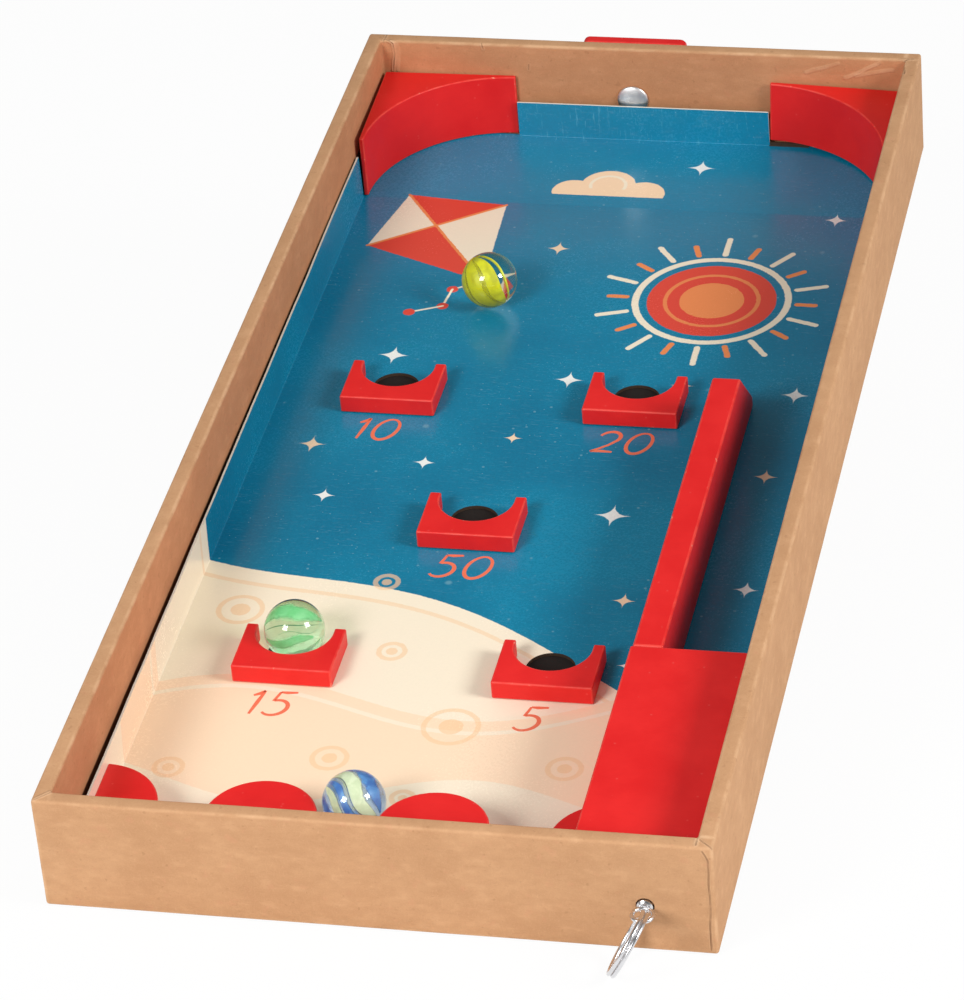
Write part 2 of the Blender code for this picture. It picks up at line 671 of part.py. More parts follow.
def ring_points():
    """Two flat turns of wire about the local z axis, joined by one step between them.

    The ring passes through the origin, where both turns are flat, and its middle lies on +x.
    """
    radius = (RING_DIAMETER - RING_WIRE) / 2
    total = 4 * math.pi - RING_STEP_ANGLE - RING_END_ANGLE
    count = round(RING_POINTS_PER_TURN * total / (2 * math.pi))
    points = []
    for index in range(count + 1):
        travelled = total * index / count
        climb = (travelled - (2 * math.pi - RING_STEP_ANGLE)) / RING_STEP_ANGLE
        climb = min(max(climb, 0), 1)
        rise = RING_PITCH * (climb * climb * (3 - 2 * climb) - 1 / 2)
        turn = RING_GATE_ANGLE + travelled
        points.append((radius + radius * math.cos(turn + math.pi), radius * math.sin(turn + math.pi), rise))
    return points


def ring_frame():
    """The ring's axis and the way from the eye to its middle, so that it leans on the table."""
    axis = Vector((
        math.cos(RING_LEAN) * math.cos(RING_TURN),
        math.cos(RING_LEAN) * math.sin(RING_TURN),
        math.sin(RING_LEAN),
    ))
    radius = (RING_DIAMETER - RING_WIRE) / 2
    dip = axis.dot(UP_ON_BOARD)
    steepness = math.sqrt(1 - dip ** 2)
    half_height = radius * steepness + abs(dip) * RING_PITCH / 2 + RING_WIRE / 2
    eye_height = Vector((ROD_X, EYE_Y, ROD_HEIGHT)).dot(UP_ON_BOARD) - TABLE_LEVEL
    drop = (eye_height - half_height - RING_TABLE_GAP) / radius
    downhill = (dip * axis - UP_ON_BOARD) / steepness
    level = downhill.cross(axis)
    if level.y > 0:
        level = -level
    share = min(max(drop / steepness, -1), 1)
    towards_middle = share * downhill + math.sqrt(1 - share ** 2) * level
    return axis, towards_middle


def make_pull_ring(carriage):
    axis, towards_middle = ring_frame()
    pivot = new_empty("ring_pivot", carriage)
    turned_to = Matrix((towards_middle, axis.cross(towards_middle), axis)).transposed().to_4x4()
    turned_to.translation = (0, EYE_Y, 0)
    pivot.matrix_local = turned_to
    points = ring_points()
    ring = place(tube("pull_ring", points, RING_WIRE), pivot)
    paint(ring, STEEL)
    gap = least_gap(points, RING_WIRE, RING_POINTS_PER_TURN // 4)
    print("least gap between the ring's turns, m:", round(gap, 6))
    return pivot


def leg_outline():
    """The leg from behind, with rounded corners; the pivot is at the origin and the foot below."""
    half = LEG_WIDTH / 2 - LEG_CORNER_RADIUS
    low = -LEG_REACH + LEG_CORNER_RADIUS
    high = LEG_HEAD - LEG_CORNER_RADIUS
    steps = ROUND_SEGMENTS // 8
    quarter = math.pi / 2
    corners = [(half, low, -quarter), (half, high, 0), (-half, high, quarter), (-half, low, math.pi)]
    outline = []
    for x, y, start in corners:
        outline += arc((x, y), LEG_CORNER_RADIUS, start, start + quarter, steps)
    return outline


def make_stand_leg():
    pivot = new_empty("leg_pivot", BOARD, (PIVOT_X, LEG_FRONT_Y + LEG_THICKNESS / 2, PIVOT_HEIGHT))
    leg = extruded("stand_leg", leg_outline(), LEG_THICKNESS)
    place(leg, pivot, rotation=(math.radians(90), 0, 0))
    round_edges(leg, LEG_EDGE_RADIUS)
    bore = cylinder("leg_bore", SCREW_HOLE_DIAMETER, LEG_THICKNESS + 2 * CUT_OVERRUN, pivot,
                    (0, -LEG_THICKNESS / 2 - CUT_OVERRUN, 0), ALONG_BOARD, CUTTERS, SMALL_ROUND_SEGMENTS)
    combine(leg, bore)
    paint(leg, RED_PAINT)
    return pivot


def make_leg_fixings():
    """The dome-head screw through the back wall, the washer before the leg and the nut behind it."""
    washer_y = BACK_FACE_Y + SEAT_GAP
    profile = washer_profile(WASHER_DIAMETER, SCREW_HOLE_DIAMETER, WASHER_THICKNESS)
    paint(turned("leg_washer", profile, BOARD, (PIVOT_X, washer_y, PIVOT_HEIGHT), ALONG_BOARD), STEEL)

    nut_y = LEG_FRONT_Y + LEG_THICKNESS + SEAT_GAP
    across_corners = NUT_ACROSS_FLATS / math.cos(math.pi / 6)
    nut = cylinder("leg_nut", across_corners, NUT_THICKNESS, BOARD, (PIVOT_X, nut_y, PIVOT_HEIGHT),
                   ALONG_BOARD, segments=6)
    nut_bore = cylinder("nut_bore", SCREW_DIAMETER + 2 * SEAT_GAP, NUT_THICKNESS + 2 * CUT_OVERRUN,
                        BOARD, (PIVOT_X, nut_y - CUT_OVERRUN, PIVOT_HEIGHT), ALONG_BOARD, CUTTERS,
                        SMALL_ROUND_SEGMENTS)
    combine(nut, nut_bore)
    paint(nut, STEEL)

    head_back_y = INNER_HALF_LENGTH - SEAT_GAP
    tip_y = nut_y + NUT_THICKNESS + SCREW_TIP
    half_head = SCREW_HEAD_DIAMETER / 2
    crown = []
    steps = ROUND_SEGMENTS // 4
    for step in range(steps + 1):
        turn = math.pi / 2 * step / steps
        crown.append((half_head * math.cos(turn), -SCREW_HEAD_RIM - SCREW_HEAD_CROWN * math.sin(turn)))
    crown[-1] = (0, crown[-1][1])
    shank = tip_y - head_back_y
    profile = [(0, shank), (SCREW_DIAMETER / 2, shank), (SCREW_DIAMETER / 2, 0), (half_head, 0), *crown]
    screw = turned("leg_screw", profile, BOARD, (PIVOT_X, head_back_y, PIVOT_HEIGHT), ALONG_BOARD)
    paint(screw, STEEL)


def make_marble(name, location, material):
    shape = bmesh.new()
    bmesh.ops.create_uvsphere(shape, u_segments=MARBLE_SEGMENTS, v_segments=MARBLE_RINGS,
                              radius=MARBLE_DIAMETER / 2)
    mesh = bpy.data.meshes.new(name)
    shape.to_mesh(mesh)
    shape.free()
    mesh.shade_smooth()
    paint(place(add_mesh_object(name, mesh), BOARD, location), material)


def make_marbles():
    """One marble on the field, one caught in a hole and one in a trough of the front strip."""
    radius = MARBLE_DIAMETER / 2
    on_field = FIELD_TOP + SEAT_GAP + radius
    free_y = BACK_FACE_Y - FREE_MARBLE_FROM_BACK
    free_x = -FLANGE_X + FREE_MARBLE_FROM_FLANGE
    make_marble("marble_yellow", (free_x, free_y, on_field), YELLOW_GLASS)

    catcher_x, catcher_y = CATCHER_PLACES["catcher_15"]
    in_hole = SHEET_BOTTOM + SHEET_THICKNESS + SEAT_GAP + radius
    caught = (catcher_x + CAUGHT_MARBLE_SHIFT_X, catcher_y + CAUGHT_MARBLE_FROM_FRONT, in_hole)
    make_marble("marble_green", caught, GREEN_GLASS)

    trough_x = SCALLOP_FIRST_X + SCALLOP_PERIOD / 2
    make_marble("marble_blue", (trough_x, TROUGH_Y + SIDE_GAP + radius, on_field), BLUE_GLASS)


def settle_on_table():
    """Turns the board by its slope and sets the whole game down, centred on the world's axis."""
    BOARD.rotation_euler = (SLOPE, 0, 0)
    bpy.context.view_layer.update()
    depsgraph = bpy.context.evaluated_depsgraph_get()
    corners = []
    for item in PARTS.objects:
        if item.type == "MESH":
            shape = item.evaluated_get(depsgraph)
            corners += [shape.matrix_world @ vertex.co for vertex in shape.data.vertices]
    low = Vector(min(corner[axis] for corner in corners) for axis in range(3))
    high = Vector(max(corner[axis] for corner in corners) for axis in range(3))
    BOARD.location = (-(low.x + high.x) / 2, -(low.y + high.y) / 2, -low.z)
    bpy.context.view_layer.update()


def print_frames(ring_pivot, leg_pivot):
    """World places and directions of the joints and resting faces."""
    world = BOARD.matrix_world
    turn = world.to_3x3()
    spots = {
        "plunger axis": ((ROD_X, EYE_Y, ROD_HEIGHT), (0, -1, 0)),
        "spring fixed end": ((ROD_X, SPRING_START_Y, ROD_HEIGHT), (0, 1, 0)),
        "tray underside": ((0, 0, 0), (0, 0, -1)),
        "leg foot": ((PIVOT_X, LEG_FRONT_Y + LEG_THICKNESS / 2, PIVOT_HEIGHT - LEG_REACH), (0, 0, -1)),
        "leg pivot": ((PIVOT_X, LEG_FRONT_Y + LEG_THICKNESS / 2, PIVOT_HEIGHT), (0, -1, 0)),
        "board up": ((0, 0, 0), (0, 0, 1)),
    }
    for name, (location, direction) in spots.items():
        print(name, [round(value, 6) for value in world @ Vector(location)],
              [round(value, 6) for value in turn @ Vector(direction)])
    ring = ring_pivot.matrix_world
    print("ring pivot", [round(value, 6) for value in ring.translation],
          [round(value, 6) for value in ring.to_3x3() @ Vector((0, 0, 1))])
    print("slope, degrees:", round(math.degrees(SLOPE), 4))


def build():
    make_tray()
    make_backing_sheet()
    make_playfield()
    make_catchers()
    make_corner_deflectors()
    make_lane_bar()
    make_plunger_housing()
    make_front_scallop()
    carriage = new_empty("plunger_carriage", BOARD, (ROD_X, 0, ROD_HEIGHT))
    make_plunger(carriage)
    make_front_washer()
    make_plunger_spring()
    ring_pivot = make_pull_ring(carriage)
    leg_pivot = make_stand_leg()
    make_leg_fixings()
    make_marbles()
    settle_on_table()
    print_frames(ring_pivot, leg_pivot)


build()
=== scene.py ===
import json
import math

import bmesh
import bpy
from mathutils import Matrix, Vector, noise


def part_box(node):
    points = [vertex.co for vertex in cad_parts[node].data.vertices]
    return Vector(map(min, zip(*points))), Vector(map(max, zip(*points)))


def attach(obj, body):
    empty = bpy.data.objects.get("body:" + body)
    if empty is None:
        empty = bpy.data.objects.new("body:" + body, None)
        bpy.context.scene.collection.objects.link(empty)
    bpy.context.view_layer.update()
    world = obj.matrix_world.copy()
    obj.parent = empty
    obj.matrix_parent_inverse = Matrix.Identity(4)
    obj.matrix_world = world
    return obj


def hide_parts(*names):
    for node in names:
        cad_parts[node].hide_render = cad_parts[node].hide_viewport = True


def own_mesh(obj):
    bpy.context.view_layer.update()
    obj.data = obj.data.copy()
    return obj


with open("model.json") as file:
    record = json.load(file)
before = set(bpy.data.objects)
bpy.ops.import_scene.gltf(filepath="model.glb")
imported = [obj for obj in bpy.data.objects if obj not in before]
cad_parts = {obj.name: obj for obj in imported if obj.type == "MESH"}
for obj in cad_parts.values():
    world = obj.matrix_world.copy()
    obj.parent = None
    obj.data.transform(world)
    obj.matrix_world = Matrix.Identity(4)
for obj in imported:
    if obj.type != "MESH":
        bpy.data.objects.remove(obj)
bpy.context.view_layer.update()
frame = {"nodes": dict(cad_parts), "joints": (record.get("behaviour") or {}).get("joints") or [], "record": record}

# The board's own frame: x across, y to the back, z off the playfield, origin under its middle
MOUNTS = {mount["name"]: mount for mount in frame["record"]["mounts"]}
JOINTS = {joint["name"]: joint for joint in frame["joints"]}
UNDERSIDE = MOUNTS["underside"]
BOARD_UP = -Vector(UNDERSIDE["axis"])
BOARD_ACROSS = Vector((1, 0, 0))
BOARD_BACK = BOARD_UP.cross(BOARD_ACROSS)
BOARD = Matrix((BOARD_ACROSS, BOARD_BACK, BOARD_UP)).transposed().to_4x4()
BOARD.translation = UNDERSIDE["pos_m"]
SLOPE = math.atan2(BOARD_BACK.z, BOARD_BACK.y)


def board_box(*nodes):
    """Lowest and highest corner of CAD nodes, in the board's frame."""
    inverse = BOARD.inverted()
    points = [inverse @ vertex.co for name in nodes for vertex in frame["nodes"][name].data.vertices]
    low = Vector(min(point[axis] for point in points) for axis in range(3))
    high = Vector(max(point[axis] for point in points) for axis in range(3))
    return low, high


TRAY_LOW, TRAY_HIGH = board_box("tray")
FIELD_LOW, FIELD_HIGH = board_box("playfield")
CARD_THICKNESS = 0.001
FIELD_TOP = FIELD_LOW.z + CARD_THICKNESS
TRAY_WALL = 0.0043
TRAY_FLOOR = 0.0012
INNER_X = TRAY_HIGH.x - TRAY_WALL
INNER_Y = TRAY_HIGH.y - TRAY_WALL
CATCHER_NODES = ("catcher_10", "catcher_20", "catcher_50", "catcher_15", "catcher_5")


# Shader maths

class Number:
    """A number that changes over a surface; sums with it add Math nodes."""

    def __init__(self, finish, socket):
        self.finish = finish
        self.socket = socket

    def made(self, operation, *values):
        return self.finish.math(operation, *values)

    def __add__(self, other):
        return self.made("ADD", self, other)

    __radd__ = __add__

    def __sub__(self, other):
        return self.made("SUBTRACT", self, other)

    def __rsub__(self, other):
        return self.made("SUBTRACT", other, self)

    def __mul__(self, other):
        return self.made("MULTIPLY", self, other)

    __rmul__ = __mul__

    def __truediv__(self, other):
        return self.made("DIVIDE", self, other)

    def __abs__(self):
        return self.made("ABSOLUTE", self)

    def least(self, other):
        return self.made("MINIMUM", self, other)

    def most(self, other):
        return self.made("MAXIMUM", self, other)


class Finish:
    """A material and the few helpers that its nodes are made with."""

    def __init__(self, name):
        self.material = bpy.data.materials.new(name)
        self.material.use_nodes = True
        self.nodes = self.material.node_tree.nodes
        self.links = self.material.node_tree.links
        self.surface = self.nodes["Principled BSDF"]
        self.output = self.nodes["Material Output"]
        place = self.node("ShaderNodeTexCoord")
        mapping = self.node(
            "ShaderNodeMapping", {"vector_type": "TEXTURE"},
            {"Vector": place.outputs["Object"], "Location": BOARD.translation, "Rotation": (SLOPE, 0, 0)},
        )
        self.place = mapping.outputs["Vector"]

    def node(self, kind, settings=None, inputs=None):
        made = self.nodes.new(kind)
        for name, value in (settings or {}).items():
            setattr(made, name, value)
        for name, value in (inputs or {}).items():
            self.feed(made.inputs[name], value)
        return made

    def feed(self, socket, value):
        if isinstance(value, Number):
            value = value.socket
        if isinstance(value, bpy.types.NodeSocket):
            self.links.new(value, socket)
        else:
            socket.default_value = value

    def math(self, operation, *values):
        made = self.node("ShaderNodeMath", {"operation": operation}, dict(enumerate(values)))
        return Number(self, made.outputs[0])

    def sine(self, value):
        return self.math("SINE", value)

    def root(self, value):
        return self.math("SQRT", value)

    def axes(self):
        split = self.node("ShaderNodeSeparateXYZ", inputs={0: self.place})
        return [Number(self, split.outputs[axis]) for axis in range(3)]

    def product(self, first, second):
        """Two colours or places multiplied part by part."""
        made = self.node("ShaderNodeVectorMath", {"operation": "MULTIPLY"}, {0: first, 1: second})
        return made.outputs[0]

    def scaled(self, scale):
        """The place with each axis multiplied, for stretched grain."""
        return self.product(self.place, scale)

    def noise(self, scale, detail=2, roughness=0.5, place=None, distortion=0):
        made = self.node("ShaderNodeTexNoise", {"noise_dimensions": "3D"}, {
            "Vector": place or self.place, "Scale": scale, "Detail": detail,
            "Roughness": roughness, "Distortion": distortion,
        })
        return Number(self, made.outputs["Fac"])

    def cells(self, scale, output="Distance"):
        made = self.node("ShaderNodeTexVoronoi", {"feature": "F1"}, {"Vector": self.place, "Scale": scale})
        return made.outputs[output]

    def rise(self, value, low, high, start=0, end=1):
        """Goes smoothly from start to end while value goes from low to high."""
        made = self.node("ShaderNodeMapRange", {"interpolation_type": "SMOOTHSTEP"}, {
            "Value": value, "From Min": low, "From Max": high, "To Min": start, "To Max": end,
        })
        return Number(self, made.outputs["Result"])

    def inside(self, distance, edge=0.00012):
        """One where a signed distance is negative, nothing where it is positive."""
        return self.rise(distance, -edge, edge, 1, 0)

    def mix(self, share, first, second):
        """The second colour laid over the first by a share."""
        made = self.node("ShaderNodeMix", {"data_type": "RGBA"}, {0: share, 6: first, 7: second})
        return made.outputs[2]

    def shade(self, colour, factor):
        """A colour made darker or lighter by a number about one."""
        made = self.node("ShaderNodeVectorMath", {"operation": "SCALE"}, {0: colour, "Scale": factor})
        return made.outputs[0]

    def bump(self, height, depth, strength):
        inputs = {"Height": height, "Distance": depth, "Strength": strength}
        return self.node("ShaderNodeBump", inputs=inputs).outputs[0]

    def attribute(self, name):
        made = self.node("ShaderNodeAttribute", {"attribute_name": name})
        return Number(self, made.outputs["Fac"])

    def set(self, **values):
        """Feeds the surface's own sockets, named with underscores for spaces."""
        for name, value in values.items():
            self.feed(self.surface.inputs[name.replace("_", " ")], value)
        return self.material


def tint(red, green, blue):
    """A colour written as it shows on a screen, 0 to 255, as the shader wants it."""
    def linear(level):
        share = level / 255
        return share / 12.92 if share <= 0.04045 else ((share + 0.055) / 1.055) ** 2.4
    return (linear(red), linear(green), linear(blue), 1)


# Flat figures, each a signed distance: less than nothing inside the figure

def disc(finish, x, y, centre, radius):
    across, along = x - centre[0], y - centre[1]
    return finish.root(across * across + along * along) - radius


def polygon(finish, x, y, corners):
    """The signed distance to a convex shape whose corners run anticlockwise."""
    distance = None
    for first, second in zip(corners, corners[1:] + corners[:1]):
        run, rise = second[0] - first[0], second[1] - first[1]
        length = math.hypot(run, rise)
        side = (x - first[0]) * (rise / length) - (y - first[1]) * (run / length)
        distance = side if distance is None else distance.most(side)
    return distance


def bar(finish, x, y, first, second, width):
    """The signed distance to a straight line with round ends."""
    run, rise = second[0] - first[0], second[1] - first[1]
    square = run * run + rise * rise
    across, along = x - first[0], y - first[1]
    share = (across * run + along * rise) / square
    share = share.most(0.0).least(1.0)
    left_x, left_y = across - share * run, along - share * rise
    return finish.root(left_x * left_x + left_y * left_y) - width / 2


# Finishes

# Creases and seams of the paper, in millimetres: the face, its level, how dark the painted shade in
# the line is, how pale the painted highlight on the ridge beside it is, then the line's points
MILLIMETRE = 0.001
PAPER_LINES = (
    ("wall", -187.5, 0.8, 0.3, ((80.9, 31.2), (81.9, 28.6), (82.1, 16.0), (81.9, 1.4))),
    ("wall", 183.2, 0.8, 0.9, ((-78.0, 33.0), (-75.8, 31.7), (-75.2, 28.4), (-76.0, 22.3))),
    ("wall", 183.2, 0.0, 0.5, ((-76.6, 33.0), (-74.6, 31.4), (-74.0, 28.4), (-74.6, 22.3))),
    ("wall", 183.2, 0.5, 0.3, ((-48.6, 33.0), (-47.9, 30.9))),
    ("wall", 183.2, 0.5, 0.2, ((-34.2, 25.8), (-34.4, 24.0))),
    ("wall", 183.2, 0.0, 0.5, ((49.6, 26.7), (59.4, 30.4))),
    ("wall", 183.2, 0.0, 0.6, ((61.2, 25.7), (71.6, 30.9))),
    ("wall", 183.2, 0.0, 0.5, ((64.4, 26.6), (75.4, 28.9))),
    ("rim", 32.7, 0.5, 0.6, ((-78.0, 187.4), (-78.6, 183.2))),
    ("rim", 32.7, 0.9, 0.5, ((78.1, 183.2), (81.6, 183.5))),
    ("rim", 32.7, 1.0, 0.5, ((78.9, 183.0), (79.9, 175.0))),
    ("rim", 32.7, 0.9, 0.5, ((79.3, -183.2), (79.2, -186.4))),
    ("rim", 32.7, 0.7, 0.5, ((79.9, -184.2), (83.1, -187.0))),
    ("rim", 32.7, 0.3, 0.8, ((-79.5, -183.5), (-82.6, -186.6))),
)


def kraft_finish():
    """Brown paper over board: mottled, fibrous, pale at its folds from rubbing and a painted highlight, creased at
    the corners with painted shade and highlights, darkened by painted shade behind the turned-up card.
    """
    finish = Finish("kraft_board")
    x, y, z = finish.axes()
    half_x, half_y = TRAY_HIGH.x, TRAY_HIGH.y
    side = abs(x)
    end = abs(y)
    top = abs(z - TRAY_HIGH.z)
    low = abs(z - TRAY_LOW.z)
    out_x, out_y = abs(side - half_x), abs(end - half_y)
    in_x, in_y = abs(side - INNER_X), abs(end - INNER_Y)
    edge = (out_x + top).least(out_y + top).least(in_x + top).least(in_y + top)
    edge = edge.least(out_x + out_y).least(out_x + low).least(out_y + low)
    wander = finish.noise(110, 4, 0.65)
    # Paler along the folds: rubbed wear, and a painted highlight on the rounded folds
    worn_and_highlit = finish.rise(edge, 0.0013, 0.0003) * finish.rise(wander, 0.4, 0.64, 0.05, 1)

    clouds = finish.noise(42, 5, 0.62)
    blotches = finish.noise(1, 4, 0.62, finish.scaled((170, 170, 330)))
    fibres = finish.noise(1, 4, 0.7, finish.scaled((700, 700, 1700)), 0.6)
    hairs = finish.noise(1, 3, 0.7, finish.scaled((1700, 800, 600)), 1.2)
    fine = finish.noise(2600, 2, 0.6)
    flecks = finish.rise(finish.noise(560, 2, 0.4), 0.33, 0.25)
    red_flecks = finish.rise(finish.noise(300, 3, 0.5), 0.6, 0.72)
    colour = finish.mix(finish.rise(clouds, 0.3, 0.7), tint(188, 142, 103), tint(198, 152, 112))
    colour = finish.mix(finish.rise(blotches, 0.42, 0.66) * 0.3, colour, tint(178, 132, 94))
    colour = finish.mix(finish.rise(blotches, 0.46, 0.3) * 0.3, colour, tint(212, 166, 126))
    colour = finish.mix(finish.rise(fibres, 0.54, 0.74) * 0.3, colour, tint(164, 118, 82))
    colour = finish.mix(finish.rise(hairs, 0.56, 0.74) * 0.2, colour, tint(222, 178, 138))
    colour = finish.mix(red_flecks * 0.16, colour, tint(208, 142, 112))
    colour = finish.mix(finish.rise(fine, 0.4, 0.75) * 0.16, colour, tint(216, 172, 134))
    colour = finish.mix(flecks * 0.24, colour, tint(140, 98, 66))

    # Inside the tray the paper is tinted browner and darker; behind the turned-up card it is darkened further by
    # painted shade
    inside = finish.rise(side, half_x - 0.0032, half_x - 0.0038)
    inside = inside * finish.rise(end, half_y - 0.0032, half_y - 0.0038)
    inside = inside * finish.rise(z, TRAY_HIGH.z - 0.0002, TRAY_HIGH.z - 0.0012)
    colour = finish.mix(inside, colour, finish.product(colour, (1.0, 0.84, 0.79)))
    # Painted shade: the wall below the flanges' top, in the gap behind the turned-up card, is darkened as if
    # shadowed
    painted_gap_shade = finish.rise(z, FIELD_HIGH.z - 0.0004, FIELD_HIGH.z - 0.0014) * inside
    painted_gap_shade = painted_gap_shade * finish.rise(in_x, 0.001, 0.0004)
    colour = finish.mix(painted_gap_shade * 0.8, colour, tint(44, 34, 32))
    # Rubbed wear and painted highlight along the folds
    colour = finish.mix(worn_and_highlit * 0.5, colour, tint(236, 196, 156))

    relief = fibres * 0.3 + fine * 0.2 + clouds * 1.3 + blotches * 0.5 + hairs * 0.15
    drift_x = (finish.noise(90, 2) - 0.5) * 0.0016
    drift_y = (finish.noise(70, 2) - 0.5) * 0.0016
    broken = finish.rise(finish.noise(260, 3), 0.3, 0.55, 0.35, 1)
    for face, level, dark, pale, points in PAPER_LINES:
        if face == "rim":
            across, along = x, y
            on_face = finish.rise(abs(z - level * MILLIMETRE), 0.0011, 0.0006)
        else:
            across, along = x, z
            on_face = finish.rise(abs(y - level * MILLIMETRE), 0.0008, 0.0004)
        distance = None
        for first, second in zip(points, points[1:]):
            start = tuple(value * MILLIMETRE for value in first)
            stop = tuple(value * MILLIMETRE for value in second)
            reach = bar(finish, across + drift_x, along + drift_y, start, stop, 0.0)
            distance = reach if distance is None else distance.least(reach)
        # Each crease and seam gets a painted highlight on its ridge and painted shade in its line
        ridge_highlight = finish.rise(distance, 0.0009, 0.0003) * on_face
        line = finish.rise(distance, 0.0003, 0.0001) * on_face * broken
        colour = finish.mix(ridge_highlight * broken * (0.45 * pale), colour, tint(230, 190, 152))
        colour = finish.mix(line * (0.6 * dark), colour, tint(112, 74, 46))
        relief = relief + ridge_highlight * (1.8 * pale) - line * (2.6 * dark)
    return finish.set(Base_Color=colour, Roughness=finish.rise(fine, 0.2, 0.8, 0.72, 0.92),
                      Normal=finish.bump(relief, 0.00022, 0.6), Specular_IOR_Level=0.2)


def bare_card_finish(name, scale, detail, dark, pale, roughness):
    """Card without ink: a fine grain between two tints."""
    finish = Finish(name)
    fine = finish.noise(scale, detail, 0.6)
    return finish.set(Base_Color=finish.mix(fine, dark, pale), Roughness=roughness,
                      Normal=finish.bump(fine, 0.0001, 0.4))


def red_paint_finish():
    """Satin paint on wood: even, a little cloudy, paler at the edges from rubbing and a painted highlight."""
    finish = Finish("red_paint")
    grain = finish.noise(1, 3, 0.6, finish.scaled((320, 900, 900)))
    clouds = finish.noise(60, 4, 0.6)
    fine = finish.noise(2400, 2, 0.6)
    edge = finish.attribute("edge")
    # Paler edges: rubbed wear, and a painted highlight along the rounded edges
    rubbed_and_highlit = edge * finish.rise(finish.noise(170, 4, 0.65), 0.35, 0.62, 0.2, 1)
    colour = finish.mix(finish.rise(clouds, 0.3, 0.7), tint(220, 28, 28), tint(229, 35, 33))
    colour = finish.mix(finish.rise(grain, 0.45, 0.75) * 0.1, colour, tint(206, 20, 26))
    colour = finish.mix(rubbed_and_highlit * 0.22, colour, tint(244, 128, 108))
    nick = edge * finish.rise(finish.noise(480, 2, 0.5), 0.66, 0.74)
    colour = finish.mix(nick * 0.5, colour, tint(236, 180, 150))
    dust = finish.rise(finish.cells(260), 0.10, 0.05)
    colour = finish.mix(dust * 0.12, colour, tint(250, 150, 140))
    relief = grain * 0.35 + fine * 0.25 + clouds * 1.2
    rough = finish.rise(clouds, 0.3, 0.7, 0.36, 0.5)
    return finish.set(Base_Color=colour, Roughness=rough, Specular_IOR_Level=0.35,
                      Normal=finish.bump(relief, 0.0001, 0.35))


def steel_finish():
    """Drawn wire and turned steel, bright and faintly brushed."""
    finish = Finish("bright_steel")
    brushed = finish.noise(1, 3, 0.6, finish.scaled((900, 2600, 2600)))
    clouds = finish.noise(300, 2)
    colour = finish.mix(clouds, tint(214, 214, 216), tint(236, 236, 238))
    rough = finish.rise(clouds, 0.3, 0.7, 0.24, 0.34)
    return finish.set(Base_Color=colour, Metallic=1.0, Roughness=rough,
                      Normal=finish.bump(brushed, 0.00001, 0.2))


def screw_finish():
    """Nickel on a small pressed head, duller and greyer than the ring."""
    finish = Finish("nickel_head")
    clouds = finish.noise(500, 3)
    colour = finish.mix(clouds, tint(226, 225, 226), tint(246, 245, 244))
    rough = finish.rise(clouds, 0.3, 0.7, 0.4, 0.52)
    return finish.set(Base_Color=colour, Metallic=1.0, Roughness=rough,
                      Normal=finish.bump(clouds, 0.00006, 0.4))


# The print: a kite, a sun, a cloud and dunes, placed in the board's own frame, in metres

TEAL = tint(6, 130, 164)
DEEP_TEAL = tint(10, 112, 146)
CREAM = tint(246, 233, 208)
PEACH = tint(248, 216, 180)
DEEP_PEACH = tint(244, 200, 150)
CORAL = tint(226, 74, 58)
ORANGE = tint(240, 142, 84)
WHITE_INK = tint(246, 246, 240)

# The kite's nose, middle, left, right and foot, and how far the whole kite is moved
KITE_SPOTS = ((-0.060, 0.132), (-0.0485, 0.1155), (-0.0665, 0.1030), (-0.0300, 0.1285), (-0.0285, 0.0865))
KITE_SHIFT = Vector((-0.004, 0.012))
SUN_CENTRE = (0.035, 0.094)
SUN_RADIUS = 0.0185
RAY_COUNT = 20
CLOUD_PUFFS = (((-0.016, 0.150), 0.0062), ((-0.006, 0.154), 0.0082), ((0.005, 0.150), 0.0066))
SAND_RINGS = (
    ((-0.064, -0.066), 0.0058),
    ((-0.020, -0.080), 0.0034),
    ((0.002, -0.110), 0.0070),
    ((-0.026, -0.126), 0.0044),
    ((-0.066, -0.134), 0.0036),
    ((0.034, -0.124), 0.0042),
    ((-0.004, -0.140), 0.0028),
    ((-0.028, -0.050), 0.0030),
)
SPARKLES = (
    ((0.020, 0.166), 0.0046, "white"),
    ((-0.014, 0.118), 0.0038, "peach"),
    ((0.064, 0.140), 0.0038, "white"),
    ((-0.050, 0.058), 0.0048, "white"),
    ((0.002, 0.050), 0.0044, "white"),
    ((-0.063, 0.012), 0.0042, "peach"),
    ((-0.030, 0.006), 0.0034, "white"),
    ((0.026, -0.014), 0.0054, "white"),
    ((-0.054, -0.012), 0.0034, "white"),
    ((0.034, 0.050), 0.0036, "peach"),
    ((0.066, 0.048), 0.0044, "white"),
    ((0.064, 0.008), 0.0036, "peach"),
    ((0.067, -0.044), 0.0038, "white"),
    ((0.036, -0.052), 0.0034, "peach"),
    ((-0.008, 0.020), 0.0028, "peach"),
    ((0.042, -0.080), 0.0030, "white"),
)


def sparkle(finish, x, y, centre, size):
    """The signed distance to a star with four hollow points."""
    across, along = abs(x - centre[0]), abs(y - centre[1])
    return (finish.root(across) + finish.root(along)) * math.sqrt(size) - size


